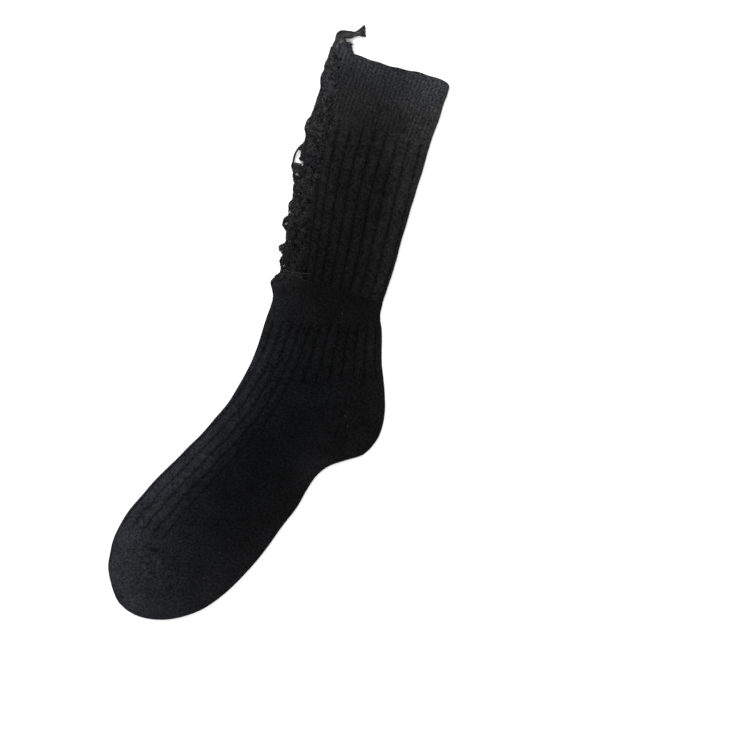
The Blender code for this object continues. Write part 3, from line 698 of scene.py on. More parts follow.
# %% Lay out the foot
def foot_place(across, along, side):
    """Where the points of the foot go, and what the material has to know of them."""
    down = 1 - along
    row = through_rows(FOOT_ROWS, np.interp(down, row_share, np.arange(len(FOOT_ROWS))))
    front_x, front_y, back_x, back_y, first, pitch = row.T
    width = np.hypot(back_x - front_x, back_y - front_y)
    number = across * ANKLE_RIBS
    share = rib_share(number, width, first, pitch)
    x = front_x + (back_x - front_x) * share
    y = front_y + (back_y - front_y) * share
    shown = ribbed(number, x, y)
    valley = shown * (1 - rib_crown(number))
    calm = smooth((BAND_TOP - y) / 8.0)
    raised = WIDE_RIB * (shown - valley) + round_spots(PUFFS, x, y)
    z = layer_height(x, y, side, raised, valley, calm, rounding(edge_distance(x, y)))
    # Painted shade along the rib valleys of the foot.
    dark = 0.9 * shown * (1 - rib_crown(number, 0.5))
    facts = {
        "wale": number * FOOT_WALES,
        "course": down * FOOT_LENGTH / COURSE,
        "valley": dark * broken_valley(np.round(number), y),
        # tone: paleness by wear and painted sheen, the patches, and painted shade at the toe seam
        "tone": foot_tone(y, share * width, width) * patch_tone(x, y) * pucker_shade(x, y),
        "cool": 0.3 + 0.7 * smooth(down * 2.5) * np.exp(-(share * width / 55.0) ** 2),
    }
    return x, y, z, facts


foot_columns = int(ANKLE_RIBS * FOOT_WALES * COLUMNS_PER_WALE)
foot_mesh = double_sheet(
    foot_columns, FOOT_FACE_ROWS,
    lambda across, along: across < 0.0001 or across > 0.9999 or along < 0.0001)
foot = lay_out(foot_mesh, "foot_knit", foot_place)
give_thickness(foot, CLOTH)
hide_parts("foot")
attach(foot, "root")
print("foot:", len(foot.data.polygons), "faces")

# %% [markdown]
# ## Knitted cloth as a material
#
# A knit stitch seen from outside is a V: two strands that lean towards each other. In a wale
# there are two strands side by side, each a rounded bump, and their slant comes from shifting
# the course by how far a point is from the wale's middle. The wale and course attributes of the
# mesh give both. The colour is a washed-out black: the valleys of the ribs and the low places
# between the strands are painted darker, as shade, the tone attribute makes some places paler,
# by wear and by painted sheen, and a fine noise gives the hairy, heathered look of cotton.

# %% Node helpers
def new_material(name):
    """A material, its links and its Principled shader."""
    shade = bpy.data.materials.new(name)
    shade.use_nodes = True
    return shade, shade.node_tree.links, shade.node_tree.nodes["Principled BSDF"]


def matt(surface, roughness, specular, sheen):
    """What is the same all over the piece is set on the shader's own sockets."""
    surface.inputs["Roughness"].default_value = roughness
    surface.inputs["Specular IOR Level"].default_value = specular
    surface.inputs["Sheen Weight"].default_value = sheen
    surface.inputs["Sheen Roughness"].default_value = 0.5


class Graph:
    """Short ways to add the nodes that the finishes below share."""

    def __init__(self, shade):
        self.nodes = shade.node_tree.nodes
        self.links = shade.node_tree.links
        self.place = self.nodes.new("ShaderNodeTexCoord").outputs["Object"]

    def put(self, socket, value):
        if isinstance(value, (int, float)):
            socket.default_value = value
        else:
            self.links.new(value, socket)

    def math(self, operation, first, second=0.0, third=0.0):
        node = self.nodes.new("ShaderNodeMath")
        node.operation = operation
        for socket, value in zip(node.inputs, (first, second, third)):
            self.put(socket, value)
        return node.outputs[0]

    def times(self, first, second):
        return self.math("MULTIPLY", first, second)

    def line(self, value, slope, offset):
        return self.math("MULTIPLY_ADD", value, slope, offset)

    def scaled(self, colour, factor):
        node = self.nodes.new("ShaderNodeVectorMath")
        node.operation = "SCALE"
        self.links.new(colour, node.inputs[0])
        self.put(node.inputs["Scale"], factor)
        return node.outputs[0]

    def split(self, vector):
        node = self.nodes.new("ShaderNodeSeparateXYZ")
        self.links.new(vector, node.inputs[0])
        return node.outputs

    def ramp(self, value, *limits):
        node = self.nodes.new("ShaderNodeMapRange")
        self.links.new(value, node.inputs["Value"])
        for socket, limit in zip(node.inputs[1:5], limits):
            socket.default_value = limit
        return node.outputs["Result"]

    def attribute(self, name):
        node = self.nodes.new("ShaderNodeAttribute")
        node.attribute_name = name
        return node.outputs["Fac"]

    def noise(self, scale, detail=3.0, roughness=0.6):
        node = self.nodes.new("ShaderNodeTexNoise")
        node.inputs["Scale"].default_value = scale
        node.inputs["Detail"].default_value = detail
        node.inputs["Roughness"].default_value = roughness
        self.links.new(self.place, node.inputs["Vector"])
        return node.outputs["Fac"]

    def mix(self, share, first, second):
        node = self.nodes.new("ShaderNodeMix")
        node.data_type = "RGBA"
        self.put(node.inputs[0], share)
        for socket, value in zip((node.inputs[6], node.inputs[7]), (first, second)):
            if isinstance(value, tuple):
                socket.default_value = (*value, 1.0)
            else:
                self.links.new(value, socket)
        return node.outputs[2]

    def bump(self, height, distance, strength=1.0, under=None):
        node = self.nodes.new("ShaderNodeBump")
        node.inputs["Distance"].default_value = distance
        node.inputs["Strength"].default_value = strength
        self.links.new(height, node.inputs["Height"])
        if under is not None:
            self.links.new(under, node.inputs["Normal"])
        return node.outputs["Normal"]


print("node helpers are ready")

# %% Black knitted cotton
STITCH_SLANT = 1.3        # courses that a strand climbs across a whole wale
TONE_GAIN = 0.74


def tinted(graph, value, cool):
    """A grey of the given value, bluer where the cloth is cool."""
    return graph.scaled(graph.mix(cool, (1.02, 1.0, 1.02), (0.9, 1.0, 1.22)), value)


def knitted(name):
    """Knit stitches from the wale and the course, in the black that the tone attribute gives."""
    shade, links, cloth = new_material(name)
    graph = Graph(shade)
    off_middle = graph.math("SUBTRACT", graph.math("FRACT", graph.attribute("wale")), 0.5)
    off_middle = graph.math("ABSOLUTE", off_middle)
    strand = graph.line(off_middle, 4.0, -1.0)
    strand = graph.math("SUBTRACT", 1.0, graph.times(strand, strand))
    phase = graph.line(off_middle, STITCH_SLANT, graph.attribute("course"))
    ripple = graph.math("COSINE", graph.times(phase, 2 * math.pi))
    stitch = graph.times(strand, graph.line(ripple, 0.32, 0.68))
    hair = graph.noise(2600.0, 4.0, 0.7)
    normal = graph.bump(stitch, 0.00035, 1.0, graph.bump(hair, 0.00015, 0.9))
    links.new(normal, cloth.inputs["Normal"])
    mottle = graph.line(graph.noise(60.0, 3.0, 0.6), 1.2, 0.4)
    grain = graph.math("MAXIMUM", graph.line(graph.noise(620.0, 2.0, 0.6), 3.3, -0.65), 0.12)
    value = graph.times(graph.attribute("tone"), 0.001 * TONE_GAIN)
    value = graph.times(value, graph.times(mottle, grain))
    # The low places between the strands are painted darker, as shade.
    value = graph.times(value, graph.line(stitch, 0.9, 0.45))
    # The rib valleys are painted darker, as shade, more in some places than in others.
    closing = graph.times(graph.noise(330.0, 2.0, 0.5), 1.5)
    open_rib = graph.math("SUBTRACT", 1.1, graph.times(graph.attribute("valley"), closing))
    value = graph.times(value, graph.math("MAXIMUM", open_rib, 0.04))
    links.new(tinted(graph, value, graph.attribute("cool")), cloth.inputs["Base Color"])
    matt(cloth, 0.95, 0.015, 0.006)
    return shade


black_knit = knitted("black_knit")
for piece in (leg, foot):
    piece.data.materials.append(black_knit)
print("the cloth's material has", len(black_knit.node_tree.nodes), "nodes")

# %% [markdown]
# ## Loose yarns along the tear
#
# Where the wales have run, what is left of each course is a crimped yarn that crosses the gap
# from the upper torn edge, round the front, to the under one. Unravelled yarn keeps the kinks
# of its stitches and is much longer than the gap, so it wanders and curls. Each yarn is a curve
# with a round section: its route comes from a slow random drift, a quick crimp, and the height
# of the fold at that place. Curves are then made meshes, so that they can be joined.

# %% Yarn tools
YARN = 0.78               # diameter
YARN_STEP = 0.55          # distance between points along a yarn
FRONT_RADIUS = 3.0        # of the fold that the loose yarns make
TEAR_FOOT, TEAR_HEAD = 40.6, 211.0      # heights between which yarns cross the tear
EAR_FOOT = 30.0           # how far down they lie on the rolled corner of the ankle band


def drift(chance, count, reach, pull=0.9):
    """A slow random wandering, one value for each point."""
    values, value = [], 0.0
    for _ in range(count):
        value = pull * value + chance.uniform(-1, 1)
        values.append(value)
    values = np.convolve(values, np.ones(5) / 5, mode="same")
    most = max(1e-6, np.abs(values).max())
    return values / most * reach


def yarn_mesh(name, routes, diameter):
    """One mesh of round yarns along routes, which are lists of points in millimetres."""
    curve = bpy.data.curves.new(name + "_route", "CURVE")
    curve.dimensions = "3D"
    curve.bevel_depth = diameter / 2 * MM
    curve.bevel_resolution = 1
    curve.use_fill_caps = True
    for route in routes:
        spline = curve.splines.new("POLY")
        spline.points.add(len(route) - 1)
        for point, (x, y, z) in zip(spline.points, route):
            point.co = (x * MM, y * MM, z * MM, 1.0)
    holder = add_object(name + "_route", curve)
    bpy.context.view_layer.update()
    ready = holder.evaluated_get(bpy.context.evaluated_depsgraph_get())
    mesh = bpy.data.meshes.new_from_object(ready)
    bpy.data.objects.remove(holder, do_unlink=True)
    bpy.data.curves.remove(curve)
    mesh.name = name
    mesh.shade_smooth()
    return add_object(name, mesh)


def front_height(x, reach, side):
    """Height of the cloth's outer face at a place near the front fold, upper or under."""
    lift = rounding(np.maximum(x - reach, 0.0), FRONT_RADIUS)
    return MIDDLE + side * (MIDDLE - YARN / 2) * lift


print("yarns are", YARN, "mm thick")

# %% [markdown]
# An unravelled course keeps the waves of its stitches, which bulge like a row of omegas. Those
# waves lean into the next course's, and that makes the net of small cells along the tear. The
# courses that would cross the clear hole turn back before it, and one yarn runs round its outer
# side. The smaller openings push the yarns aside.

# %% Room for the openings
def around_hole(y, reach):
    """Where a course turns round, which is short of the large opening."""
    for at_x, at_y, half_x, half_y in HOLES[:2]:
        away = abs(y - at_y) / (half_y + YARN / 2)
        if away < 1.0:
            reach = max(reach, at_x + half_x * math.sqrt(1 - away ** 2) + YARN / 2)
    return reach


def pushed_aside(x, y, openings, clear):
    """Move what lies in an opening out to its edge."""
    for at_x, at_y, half_x, half_y in openings:
        off_x, off_y = (x - at_x) / (half_x + clear), (y - at_y) / (half_y + clear)
        away = np.maximum(np.hypot(off_x, off_y), 1e-3)
        push = np.where(away < 1, 1 / away, 1.0)
        x, y = at_x + (x - at_x) * push, at_y + (y - at_y) * push
    return x, y


print("a course beside the large opening turns round at x", round(around_hole(122.0, -40.0), 1))

# %% One crossing yarn
WAVE = 2.9                # length of one wave of a ravelled yarn
WAVE_HEIGHT = 1.05
YARN_SLACK = 1.75         # how much longer a ravelled yarn is than the way that it crosses


def crossing_yarn(chance, y):
    """A yarn from the upper torn edge, round the front, to the under torn edge."""
    root = float(leg_x(TORN_X, y)) + chance.uniform(0.6, 3.4)
    reach = float(fray_x(y)) + YARN / 2 + abs(chance.gauss(0.0, 0.6))
    reach = around_hole(y, reach)
    length = 2 * (root - reach)
    turns = length / (WAVE * chance.uniform(0.88, 1.12))
    count = int(length * YARN_SLACK / YARN_STEP)
    share = np.linspace(0, 1, count)
    out = np.abs(1 - 2 * share)
    side = np.where(share < 0.5, 1.0, -1.0)
    phase = 2 * np.pi * turns * share + chance.uniform(0, 6.3) + drift(chance, count, 0.8)
    ends = np.minimum(1.0, 5 * share) * np.minimum(1.0, 5 * (1 - share))
    height = WAVE_HEIGHT * (1 + drift(chance, count, 0.4))
    path_x = reach + (root - reach) * out ** 1.05 + ends * 0.5 * np.sin(2 * phase)
    path_x = np.maximum(path_x, reach)
    path_y = y + ends * (height * np.sin(phase) + drift(chance, count, 0.9))
    path_x, path_y = pushed_aside(path_x, path_y, HOLES[2:], YARN / 2)
    z = front_height(path_x, reach - 0.3, side) - side * (0.1 + 0.45 * np.cos(phase) ** 2)
    z = np.clip(z, YARN / 2 + 0.05, LAYERS + 0.4)
    return np.stack([path_x, np.clip(path_y, TEAR_FOOT, TEAR_HEAD), z], axis=1)


print("a ravelled yarn has a wave every", WAVE, "mm")

# %% Yarns round the large opening
RIM = np.array((
    # x, y of the yarns round the outer side of the large opening
    (-31.0, 133.2), (-33.6, 133.4), (-35.4, 132.2), (-36.6, 129.8), (-37.3, 126.6),
    (-37.4, 123.4), (-37.2, 120.6), (-36.2, 118.9), (-33.5, 118.2),
))


def hole_rim(chance, inset):
    """One of the yarns round the outer side, set in towards the opening."""
    count = 56
    route = through_rows(RIM, np.linspace(0, len(RIM) - 1.001, count))
    inward = np.array(HOLES[1][:2]) + (1.5, -1.0) - route
    inward /= np.linalg.norm(inward, axis=1)[:, None]
    route = route + inward * (inset + drift(chance, count, 0.15))[:, None]
    z = MIDDLE + 0.5 * np.sin(np.linspace(0, 7, count) + inset * 5)
    return np.stack([np.maximum(route[:, 0], -37.5), route[:, 1], z], axis=1)


def hole_curl(inset):
    """The curl that hangs into the opening from its inner side."""
    turn = np.radians(np.linspace(-80, 262, 46))
    x = -31.5 + (1.15 - inset) * np.cos(turn) - 0.2 * np.sin(2 * turn)
    y = 125.6 + (2.7 - inset) * np.sin(turn)
    return np.stack([x, y, MIDDLE + 0.8 * np.cos(turn)], axis=1)


print("the rim of the large opening is drawn through", len(RIM), "points")

# %% Crossing yarns
ROW_PITCH = 1.6


def edge_loop(chance, y):
    """A small loop that touches the outer limit, which gives the edge its scallops."""
    radius = chance.uniform(0.8, 1.5)
    count = int(2 * math.pi * radius / YARN_STEP) + 6
    turn = np.linspace(0, 2 * math.pi * chance.uniform(0.75, 1.0), count) + chance.uniform(0, 6.3)
    lean = chance.uniform(-0.4, 0.4)
    x = float(outer_x(y)) + YARN * 0.42 + radius * (1 + np.cos(turn))
    y = y + radius * chance.uniform(0.8, 1.3) * np.sin(turn + lean)
    x, y = pushed_aside(x, y, HOLES, YARN * 0.42)
    z = MIDDLE + chance.uniform(-0.8, 0.9) + 0.7 * np.sin(turn)
    return np.stack([x, np.clip(y, EAR_FOOT, TEAR_HEAD), z], axis=1)


chance = random.Random(23)
crossing = [crossing_yarn(chance, y) for y in np.arange(41.4, 209.6, ROW_PITCH)]
crossing += [hole_rim(chance, inset) for inset in (0.0, 0.55, 1.0)]
crossing += [hole_curl(0.0), hole_curl(0.5)]
crossing += [edge_loop(chance, y) for y in np.arange(32.0, 209.0, 1.4) if abs(y - 125.5) > 8]
ground_yarns = yarn_mesh("crossing_yarns", crossing, YARN)
print(len(crossing), "crossing yarns,", len(ground_yarns.data.polygons), "faces")

# %% [markdown]
# On top lies a tangle of shorter ends that curl along the tear. They gather in knots where the
# edge stands out, and a few lie on the rolled corner of the ankle band below the tear.

# %% Route the tangle
KNOTS = (
    # x, y, spread, curls
    (-23.5, 35.5, 4.6, 9), (-22.0, 38.5, 3.0, 5), (-14.5, 38.5, 4.5, 5), (-22.0, 48.5, 3.2, 5),
    (-25.0, 57.3, 3.0, 6), (-26.8, 72.5, 3.0, 4), (-27.5, 77.5, 3.2, 6), (-27.5, 89.5, 3.4, 5),
    (-33.0, 117.0, 3.2, 5), (-32.5, 133.0, 3.2, 4), (-32.0, 148.5, 4.0, 7), (-31.0, 167.0, 3.5, 4),
    (-32.0, 186.0, 3.2, 5), (-31.5, 195.5, 3.0, 4), (-31.0, 205.0, 3.0, 5),
    (-7.0, 41.2, 1.5, 3),
)
LOOSE_CURLS = 100
OPENING_EDGE = (
    # y and x of the large opening's inner side, which the curls stay behind
    (119.5, 120.5, 123.5, 124.5, 130.0, 131.0), (-40.0, -29.4, -29.4, -32.9, -32.9, -40.0))


def curling_yarn(chance, at_x, at_y, travel):
    """A free yarn end that curls, on top of the others."""
    count = chance.randrange(30, 64)
    share = np.linspace(0, 1, count)
    radius = chance.uniform(0.75, 1.45) * (1 + 0.3 * np.sin(share * chance.uniform(3, 8)))
    angle = share * count * YARN_STEP / 1.15 * chance.choice((-1, 1)) + chance.uniform(0, 6.3)
    heading = chance.choice((-1, 1)) * travel
    path_x = at_x + radius * np.cos(angle) + drift(chance, count, 1.2)
    path_y = at_y + heading * (share - 0.5) + radius * np.sin(angle) + drift(chance, count, 0.9)
    path_y = np.clip(path_y, EAR_FOOT, TEAR_HEAD + 0.5)
    low = outer_x(path_y) + YARN / 2
    high = np.where(path_y < 42.0, -3.5, leg_x(TORN_X, path_y) + 2.5)
    path_x = np.clip(path_x, low, high)
    path_x, path_y = pushed_aside(path_x, path_y, HOLES, YARN / 2)
    path_x = np.maximum(path_x, np.interp(path_y, *OPENING_EDGE))
    fold = front_height(path_x, low - YARN / 2, 1.0)
    z = fold + 0.45 + 0.4 * np.sin(angle * 0.5 + 1.0)
    return np.stack([path_x, path_y, z], axis=1)


tangle = []
for _ in range(LOOSE_CURLS):
    y = chance.uniform(44.0, 206.0)
    near, far = float(leg_x(TORN_X, y)), float(leg_x(OUTLINE_X, y))
    x = chance.uniform(far + 2.0, near + 1.5)
    tangle.append(curling_yarn(chance, x, y, chance.uniform(3, 10)))
for at_x, at_y, spread, curls in KNOTS:
    for _ in range(curls):
        x, y = at_x + chance.uniform(-1, 1) * spread, at_y + chance.uniform(-1, 1) * spread
        tangle.append(curling_yarn(chance, x, y, chance.uniform(0, 3)))
tangle_yarns = yarn_mesh("tangled_yarns", tangle, YARN * 0.68)
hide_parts("frayed_under")
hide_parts("frayed_upper")
for piece in (ground_yarns, tangle_yarns):
    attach(piece, "root")
print(len(tangle), "loose curls,", len(tangle_yarns.data.polygons), "faces")

# %% [markdown]
# ## Yarn as a material
#
# Cotton yarn is fibres twisted round each other. The curve gives each yarn a map that runs round
# and along it, so a slanted wave on that map is the twist, whose grooves are painted darker, as
# shade. Fine noise breaks it into hairs, and a coarser noise leaves some stretches of a yarn paler.
# Towards the cuff the yarns are paler as well, partly worn and partly painted sheen, so their
# colour is scaled with the height up the leg. The crossing yarns, under the tangle, get a darker
# copy of the colour, as painted shade.

# %% Black cotton yarn
YARN_TURNS = 22.0
FADE_FROM, FADE_TO = 0.045, 0.2     # metres up the leg between which the yarns grow paler
DEEP_BLACK = (0.0018, 0.0018, 0.002)


def twisted(name, dark, pale, low=1.0, high=1.0):
    """Yarn between two colours, times low at the tear's foot and times high at the cuff."""
    shade, links, yarn = new_material(name)
    graph = Graph(shade)
    along, around, _ = graph.split(graph.nodes.new("ShaderNodeUVMap").outputs["UV"])
    phase = graph.line(along, YARN_TURNS, graph.times(around, 2.0))
    twist = graph.line(graph.math("SINE", graph.times(phase, 2 * math.pi)), 0.5, 0.5)
    hair = graph.noise(3200.0, 4.0, 0.75)
    normal = graph.bump(twist, 0.00012, 0.9, graph.bump(hair, 0.00012, 0.9))
    links.new(normal, yarn.inputs["Normal"])
    # The twist's grooves are painted darker, as shade, beside paler crests.
    colour = graph.mix(graph.times(hair, twist), dark, pale)
    colour = graph.mix(graph.line(graph.noise(410.0, 2.0, 0.6), 5.5, -2.15), colour, pale)
    # Paler towards the cuff, partly by wear and partly as painted sheen.
    fade_and_sheen = graph.ramp(graph.split(graph.place)[1], FADE_FROM, FADE_TO, low, high)
    links.new(graph.scaled(colour, fade_and_sheen), yarn.inputs["Base Color"])
    matt(yarn, 0.9, 0.04, 0.012)
    return shade


# The crossing yarns lie under the tangle, so their copy of the colour is darker: painted shade.
shaded_ground_yarn = twisted("black_yarn_ground_shaded", DEEP_BLACK, (0.0142, 0.0144, 0.0154), 0.58, 1.5)
black_yarn = twisted("black_yarn", DEEP_BLACK, (0.0225, 0.0227, 0.024), 0.6, 1.6)
pale_yarn = twisted("worn_yarn", (0.012, 0.0123, 0.0115), (0.031, 0.0313, 0.03))
ground_yarns.data.materials.append(shaded_ground_yarn)
tangle_yarns.data.materials.append(black_yarn)
print("the yarn's material has", len(black_yarn.node_tree.nodes), "nodes")

# %% [markdown]
# ## The torn strip
#
# At the cuff's front corner a strip of the rib has torn free but for its root. It stands up,
# bends over towards the back and ends in loose yarns. It is a flat sheet that rolls in on itself
# and twists, so it is a grid laid along a bent line, with its edges curled.

# %% Torn strip
STRIP_ROWS = np.array((
    # x, y, z, width, roll in degrees
    (-29.8, 206.5, 3.0, 8.0, 0.0),
    (-29.4, 209.6, 2.9, 8.8, 4.0),
    (-29.0, 212.4, 2.7, 9.2, 8.0),
    (-29.4, 215.0, 2.6, 8.2, 14.0),
    (-30.4, 217.4, 2.6, 6.0, 22.0),
    (-30.5, 219.6, 2.8, 5.5, 36.0),
    (-28.4, 220.9, 2.9, 5.3, 55.0),
    (-25.6, 221.6, 2.8, 5.1, 80.0),
    (-23.0, 222.4, 2.6, 4.8, 105.0),
    (-20.6, 223.5, 2.4, 3.2, 130.0),
    (-18.4, 225.1, 2.3, 3.9, 150.0),
    (-16.6, 226.2, 2.2, 5.0, 165.0),
))
STRIP_LENGTH = 26.0
STRIP_WALES = 5
STRIP_WALL = 0.9
STRIP_CURL = 1.6          # how far its two edges roll in, in half turns


def tail_line(along):
    """The strip's middle, width and roll at a share of its length, and the way it runs there."""
    last = len(STRIP_ROWS) - 1
    at = along * last
    here = through_rows(STRIP_ROWS, at)
    ahead = through_rows(STRIP_ROWS, np.minimum(at + 0.05, last - 0.001))
    behind = through_rows(STRIP_ROWS, np.maximum(at - 0.05, 0.0))
    run = ahead[:, 0:3] - behind[:, 0:3]
    run[:, 2] = 0
    run /= np.linalg.norm(run, axis=1)[:, None]
    return here, run


def tail_place(across, along, side):
    """Where the points of the strip go: a curled gutter that turns as it runs along its line."""
    here, run = tail_line(along)
    sideways = np.stack([run[:, 1], -run[:, 0], np.zeros(len(across))], axis=1)
    off = across - 0.5
    curl = STRIP_CURL * off * np.pi
    width = here[:, 3] * 0.5
    flat = width * np.sin(curl) / np.sin(STRIP_CURL / 4 * np.pi)
    rise = width * 0.55 * (np.cos(curl) - 0.6)
    rise = np.clip(rise + 0.35 * np.sin(off * 20), -1.4, 1.5)
    swing = np.radians(here[:, 4]) * 0.25
    flat_turned = flat * np.cos(swing) - rise * np.sin(swing)
    rise_turned = flat * np.sin(swing) * 0.5 + rise * np.cos(swing)
    place = here[:, 0:3] + sideways * flat_turned[:, None]
    z = np.clip(place[:, 2] + rise_turned, 1.1, LAYERS)
    facts = {
        "wale": across * STRIP_WALES,
        "course": along * STRIP_LENGTH / COURSE,
        # valley: painted shade in the strip's fine rib valleys
        "valley": 0.8 * (1 - rib_crown(across * STRIP_WALES / FINE_WALES)),
        "tone": 50 + 14 * np.sin(along * 9),
        "cool": np.zeros(len(across)),
    }
    return place[:, 0], place[:, 1], z, facts


def single_sheet(columns, rows):
    """The upper half of a double sheet."""
    bm = double_sheet(columns, rows, lambda across, along: False)
    side = bm.verts.layers.float["side"]
    bmesh.ops.delete(bm, geom=[v for v in bm.verts if v[side] < 0], context="VERTS")
    return bm


tail = lay_out(single_sheet(16, 60), "torn_strip", tail_place)
give_thickness(tail, STRIP_WALL).offset = 0.0
tail.data.materials.append(black_knit)
print("torn strip:", len(tail.data.polygons), "faces")

# %% The strip's yarns
TUFT = 9                  # yarns side by side in the strip's blunt end


def tail_end(chance, k):
    """A loose yarn at the strip's blunt end, in a tuft that spreads like a brush."""
    spread = k % TUFT / (TUFT - 1) - 0.5
    points = 20
    share = np.linspace(0, 1, points)
    heading = math.radians(33 - 52 * spread)
    reach = chance.uniform(4.8, 5.4) + max(0.0, -2.0 * spread)
    x = -18.2 + spread * 1.3 + share * reach * math.cos(heading) + drift(chance, points, 0.3)
    y = 225.0 - spread * 3.2 + share * reach * math.sin(heading) + drift(chance, points, 0.3)
    z = 2.3 + chance.uniform(-0.9, 0.9) * share + drift(chance, points, 0.4)
    return np.stack([x, y, np.clip(z, 0.6, 4.2)], axis=1)


def strip_thread(chance, k):
    """A yarn that wraps along the strip."""
    points = 70
    share = np.linspace(chance.uniform(0, 0.2), 1, points)
    here, run = tail_line(share)
    off = np.sin(share * chance.uniform(7, 12) + k)
    sideways = np.stack([run[:, 1], -run[:, 0]], axis=1)
    flat = here[:, 0:2] + sideways * (off * here[:, 3] * 0.46)[:, None]
    z = here[:, 2] + 1.25 * np.cos(share * 9 + k * 1.7) + 0.2
    return np.stack([flat[:, 0], flat[:, 1], np.clip(z, 0.8, 4.6)], axis=1)


chance = random.Random(5)
ends = [tail_end(chance, k) for k in range(4 * TUFT)]
threads = [strip_thread(chance, k) for k in range(8)]
tail_yarns = yarn_mesh("strip_yarns", ends + threads, YARN * 0.8)
tail_yarns.data.materials.append(pale_yarn)
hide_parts("cuff_tail")
for piece in (tail, tail_yarns):
    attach(piece, "root")
print("the torn strip has", len(threads), "threads and", len(ends), "loose ends")

# %% [markdown]
# The cuff's edge beside the strip has worn to a pale fuzz, and one paler thread lies along the
# top of the ankle band, where the ladders end.

# %% Fuzz and a loose thread
FUZZ_HAIRS = 90
LADDER = (
    # x, y, z
    (-20.4, 41.6, 5.7), (-14.0, 42.4, 5.85), (-8.0, 43.3, 5.8), (-3.0, 44.5, 5.8), (0.3, 45.6, 5.8))


def fuzz_hair(chance):
    """A short fibre that stands up out of the cuff's worn edge."""
    share = np.linspace(0, 1, 9)
    length = chance.uniform(1.5, 3.4)
    heading = math.radians(chance.uniform(20, 160))
    x = chance.uniform(-25.8, -19.8) + share * length * math.cos(heading) * 0.7
    y = 214.8 + share * length * math.sin(heading) + drift(chance, 9, 0.3)
    return np.stack([x, y, 2.4 + chance.uniform(-1, 1.4) * (1 - share) + 0.2], axis=1)


fibre = twisted("pale_fibre", (0.06, 0.057, 0.048), (0.14, 0.133, 0.115))
fuzz = yarn_mesh("cuff_fuzz", [fuzz_hair(chance) for _ in range(FUZZ_HAIRS)], 0.16)
fuzz.data.materials.append(fibre)
ladder_path = through_rows(np.array(LADDER), np.linspace(0, len(LADDER) - 1.001, 40))
ladder = yarn_mesh("ladder_thread", [ladder_path], 0.32)
ladder.data.materials.append(pale_yarn)
for piece in (fuzz, ladder):
    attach(piece, "root")
print("fuzz:", FUZZ_HAIRS, "fibres")

# %% [markdown]
# ## The toe seam
#
# The toe is closed by a line of linked stitches. From a step away it is two faint threads with a
# darker line between them, where the cloth is drawn in, and it ends in a small pucker. The dark
# line and the pucker are painted shade in the cloth's tone, and each thread is a yarn that swings
# a little from stitch to stitch. It lies on the cloth, so its height comes from the foot's upper
# face.

# %% Toe seam
seam_thread = twisted("seam_thread", (0.014, 0.0145, 0.0165), (0.0215, 0.0223, 0.026))
SEAM_FROM = (-80.8, -190.4)
SEAM_TO = (-53.6, -182.9)
SEAM_STITCH = 1.25
SEAM_SIDE = 1.1           # from the middle of the seam to each thread
SEAM_SWING = 0.35


def foot_surface(x, y):
    """Height of the foot's upper face where it is plain."""
    lift = rounding(edge_distance(x, y))
    raised = round_spots(PUFFS, x, y) + slow_waves(x, y) - crease_depth(x, y)
    return MIDDLE + (MIDDLE + raised) * lift


def seam_route(aside, phase):
    """A thread along one side of the seam that swings from side to side."""
    start, end = np.array(SEAM_FROM), np.array(SEAM_TO)
    length = float(np.linalg.norm(end - start))
    count = int(length / 0.3)
    share = np.linspace(0, 1, count)
    bow = 0.4 * np.sin(np.pi * share) + aside
    stitches = share * length / SEAM_STITCH
    normal = np.array([-(end - start)[1], (end - start)[0]]) / length
    off = bow + SEAM_SWING * np.sin(np.pi * stitches + phase)
    place = start + (end - start) * share[:, None] + normal * off[:, None]
    z = foot_surface(place[:, 0], place[:, 1]) + 0.04
    z = z + 0.12 * np.cos(2 * np.pi * stitches + phase)
    return np.stack([place[:, 0], place[:, 1], z], axis=1)


seam_routes = [seam_route(SEAM_SIDE, 0.0), seam_route(-SEAM_SIDE, math.pi)]
seam = yarn_mesh("toe_seam", seam_routes, 0.36)
seam.data.materials.append(seam_thread)
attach(seam, "root")
print("the toe seam is", round(math.dist(SEAM_FROM, SEAM_TO)), "mm long")

# %% [markdown]
# ## Lint
#
# Black socks pick up lint. A few pale specks are listed one by one and the rest fall at random,
# on both sides. A ray finds the cloth's face under each, so that it lies on the surface.

# %% Lint
LINT = (
    (-20.3, 164.9), (28.2, 181.6), (38.2, 159.6), (28.2, 161.0), (31.7, 132.8), (13.4, 94.6),
    (51.2, 102.1), (54.4, -47.2), (-45.2, -106.3), (24.0, 57.0), (-3.0, -78.0), (-58.0, -176.0),
)
RANDOM_LINT = 70


def lint_fibre(chance, at_x, at_y, downwards, trees):
    """A short curled fibre on the cloth's upper face, or on the face that lies on the surface."""
    start = Vector((at_x * MM, at_y * MM, 0.02 if downwards else -0.02))
    way = Vector((0, 0, -1.0 if downwards else 1.0))
    hits = [hit for hit in (tree.ray_cast(start, way)[0] for tree in trees) if hit is not None]
    if not hits:
        return None
    height = (max if downwards else min)(hit.z for hit in hits) / MM
    turn = np.linspace(0, chance.uniform(1.0, 3.5), 9) + chance.uniform(0, 6.3)
    radius = chance.uniform(0.25, 0.6)
    z = np.full(9, max(height, 0.06)) + 0.02
    return np.stack([at_x + radius * np.cos(turn), at_y + radius * np.sin(turn), z], axis=1)


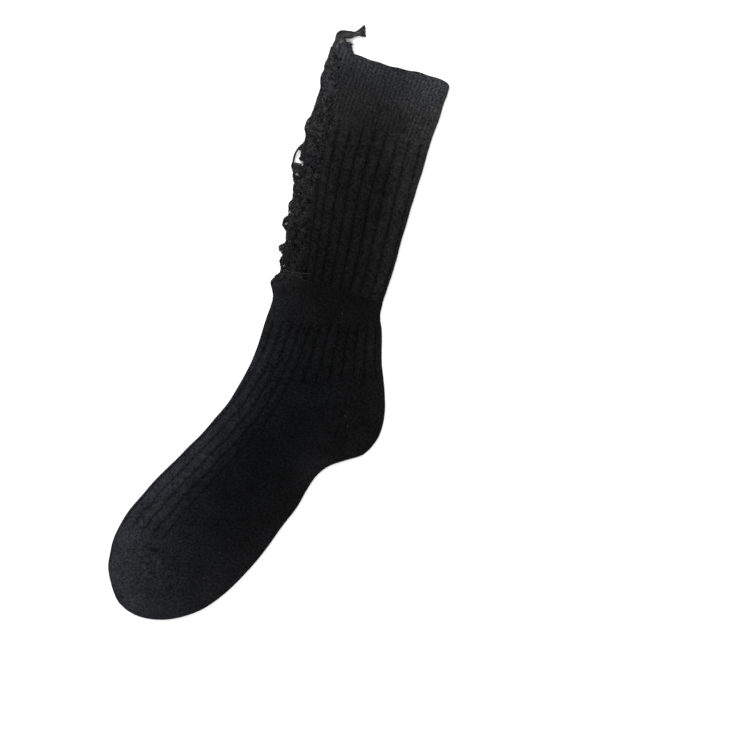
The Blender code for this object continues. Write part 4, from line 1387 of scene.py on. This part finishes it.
chance = random.Random(31)
ready = bpy.context.evaluated_depsgraph_get()
trees = [BVHTree.FromObject(piece, ready) for piece in (leg, foot)]
scattered = [(chance.uniform(-80, 80), chance.uniform(-228, 206)) for _ in range(RANDOM_LINT)]
lint = [lint_fibre(chance, x, y, True, trees) for x, y in LINT for _ in range(2)]
lint += [lint_fibre(chance, x, y, k % 3 > 0, trees) for k, (x, y) in enumerate(scattered)]
lint = yarn_mesh("lint", [route for route in lint if route is not None], 0.14)
lint.data.materials.append(twisted("lint_fibre", (0.03, 0.029, 0.026), (0.076, 0.073, 0.066)))
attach(lint, "root")
print("lint:", len(lint.data.polygons), "faces")

# %% [markdown]
# ## What is cloth
#
# A sock is knitted to shape: the foot is the tube laid flat all round, and the leg is what is left
# of the tube after the tear.

print("the cloth is in three pieces: the leg, the foot and the torn strip")

# %% [markdown]
# ## Stage, light and camera
#
# The sock is seen from straight above on a plain pale floor. One large soft light from the upper
# left draws the ribs, a second one fills from the right, and a pale world lights the rest.

# %% Floor
FLOOR_REACH = 1.5         # in metres, as what follows is
FLOOR_HEIGHT = -0.0001
bm = bmesh.new()
bmesh.ops.create_grid(bm, x_segments=1, y_segments=1, size=FLOOR_REACH)
bmesh.ops.translate(bm, verts=bm.verts, vec=(0, 0, FLOOR_HEIGHT))
floor_mesh = bpy.data.meshes.new("ground")
bm.to_mesh(floor_mesh)
bm.free()
floor = add_object("ground", floor_mesh)
floor_shade, _, paper = new_material("pale_paper")
paper.inputs["Base Color"].default_value = (0.9, 0.9, 0.9, 1.0)
matt(paper, 0.9, 0.1, 0.0)
floor_mesh.materials.append(floor_shade)
print("the floor is", 2 * FLOOR_REACH, "m wide")

# %% Lights
def soft_light(name, place, size, power):
    """A round area light that looks at the middle of the sock."""
    lamp = bpy.data.lights.new(name, "AREA")
    lamp.shape = "DISK"
    lamp.size = size
    lamp.energy = power
    holder = add_object(name, lamp)
    holder.location = place
    holder.rotation_euler = (-Vector(place)).to_track_quat("-Z", "Y").to_euler()


soft_light("key", (-0.8, 0.8, 1.5), 1.2, 34.0)
soft_light("fill", (0.9, -0.6, 1.6), 1.6, 14.0)
world = bpy.data.worlds.new("studio")
world.use_nodes = True
background = world.node_tree.nodes["Background"]
background.inputs["Color"].default_value = (1.0, 1.0, 1.0, 1.0)
background.inputs["Strength"].default_value = 1.0
bpy.context.scene.world = world
bpy.context.scene.view_settings.view_transform = "Standard"
print("two soft lights and a pale world")

# %% Camera
VIEW_MIDDLE = (0.06636, -0.0121)
VIEW_WIDTH = 0.55125       # across the picture, at the height of the folds
LENS = 85.0
SENSOR = 36.0
LEG_LEAN = 16.9           # how far the leg leans from upright in the picture
lens = bpy.data.cameras.new("above")
lens.lens = LENS
lens.sensor_width = SENSOR
camera = add_object("above", lens)
camera.location = (*VIEW_MIDDLE, VIEW_WIDTH * LENS / SENSOR + MIDDLE * MM)
camera.rotation_euler = (0.0, 0.0, math.radians(LEG_LEAN))
bpy.context.scene.camera = camera
print("the camera is", round(camera.location.z, 2), "m above the floor")

# %% [markdown]
# ## Finish
#
# The view layer is brought up to date.

# %% Finish
bpy.context.view_layer.update()
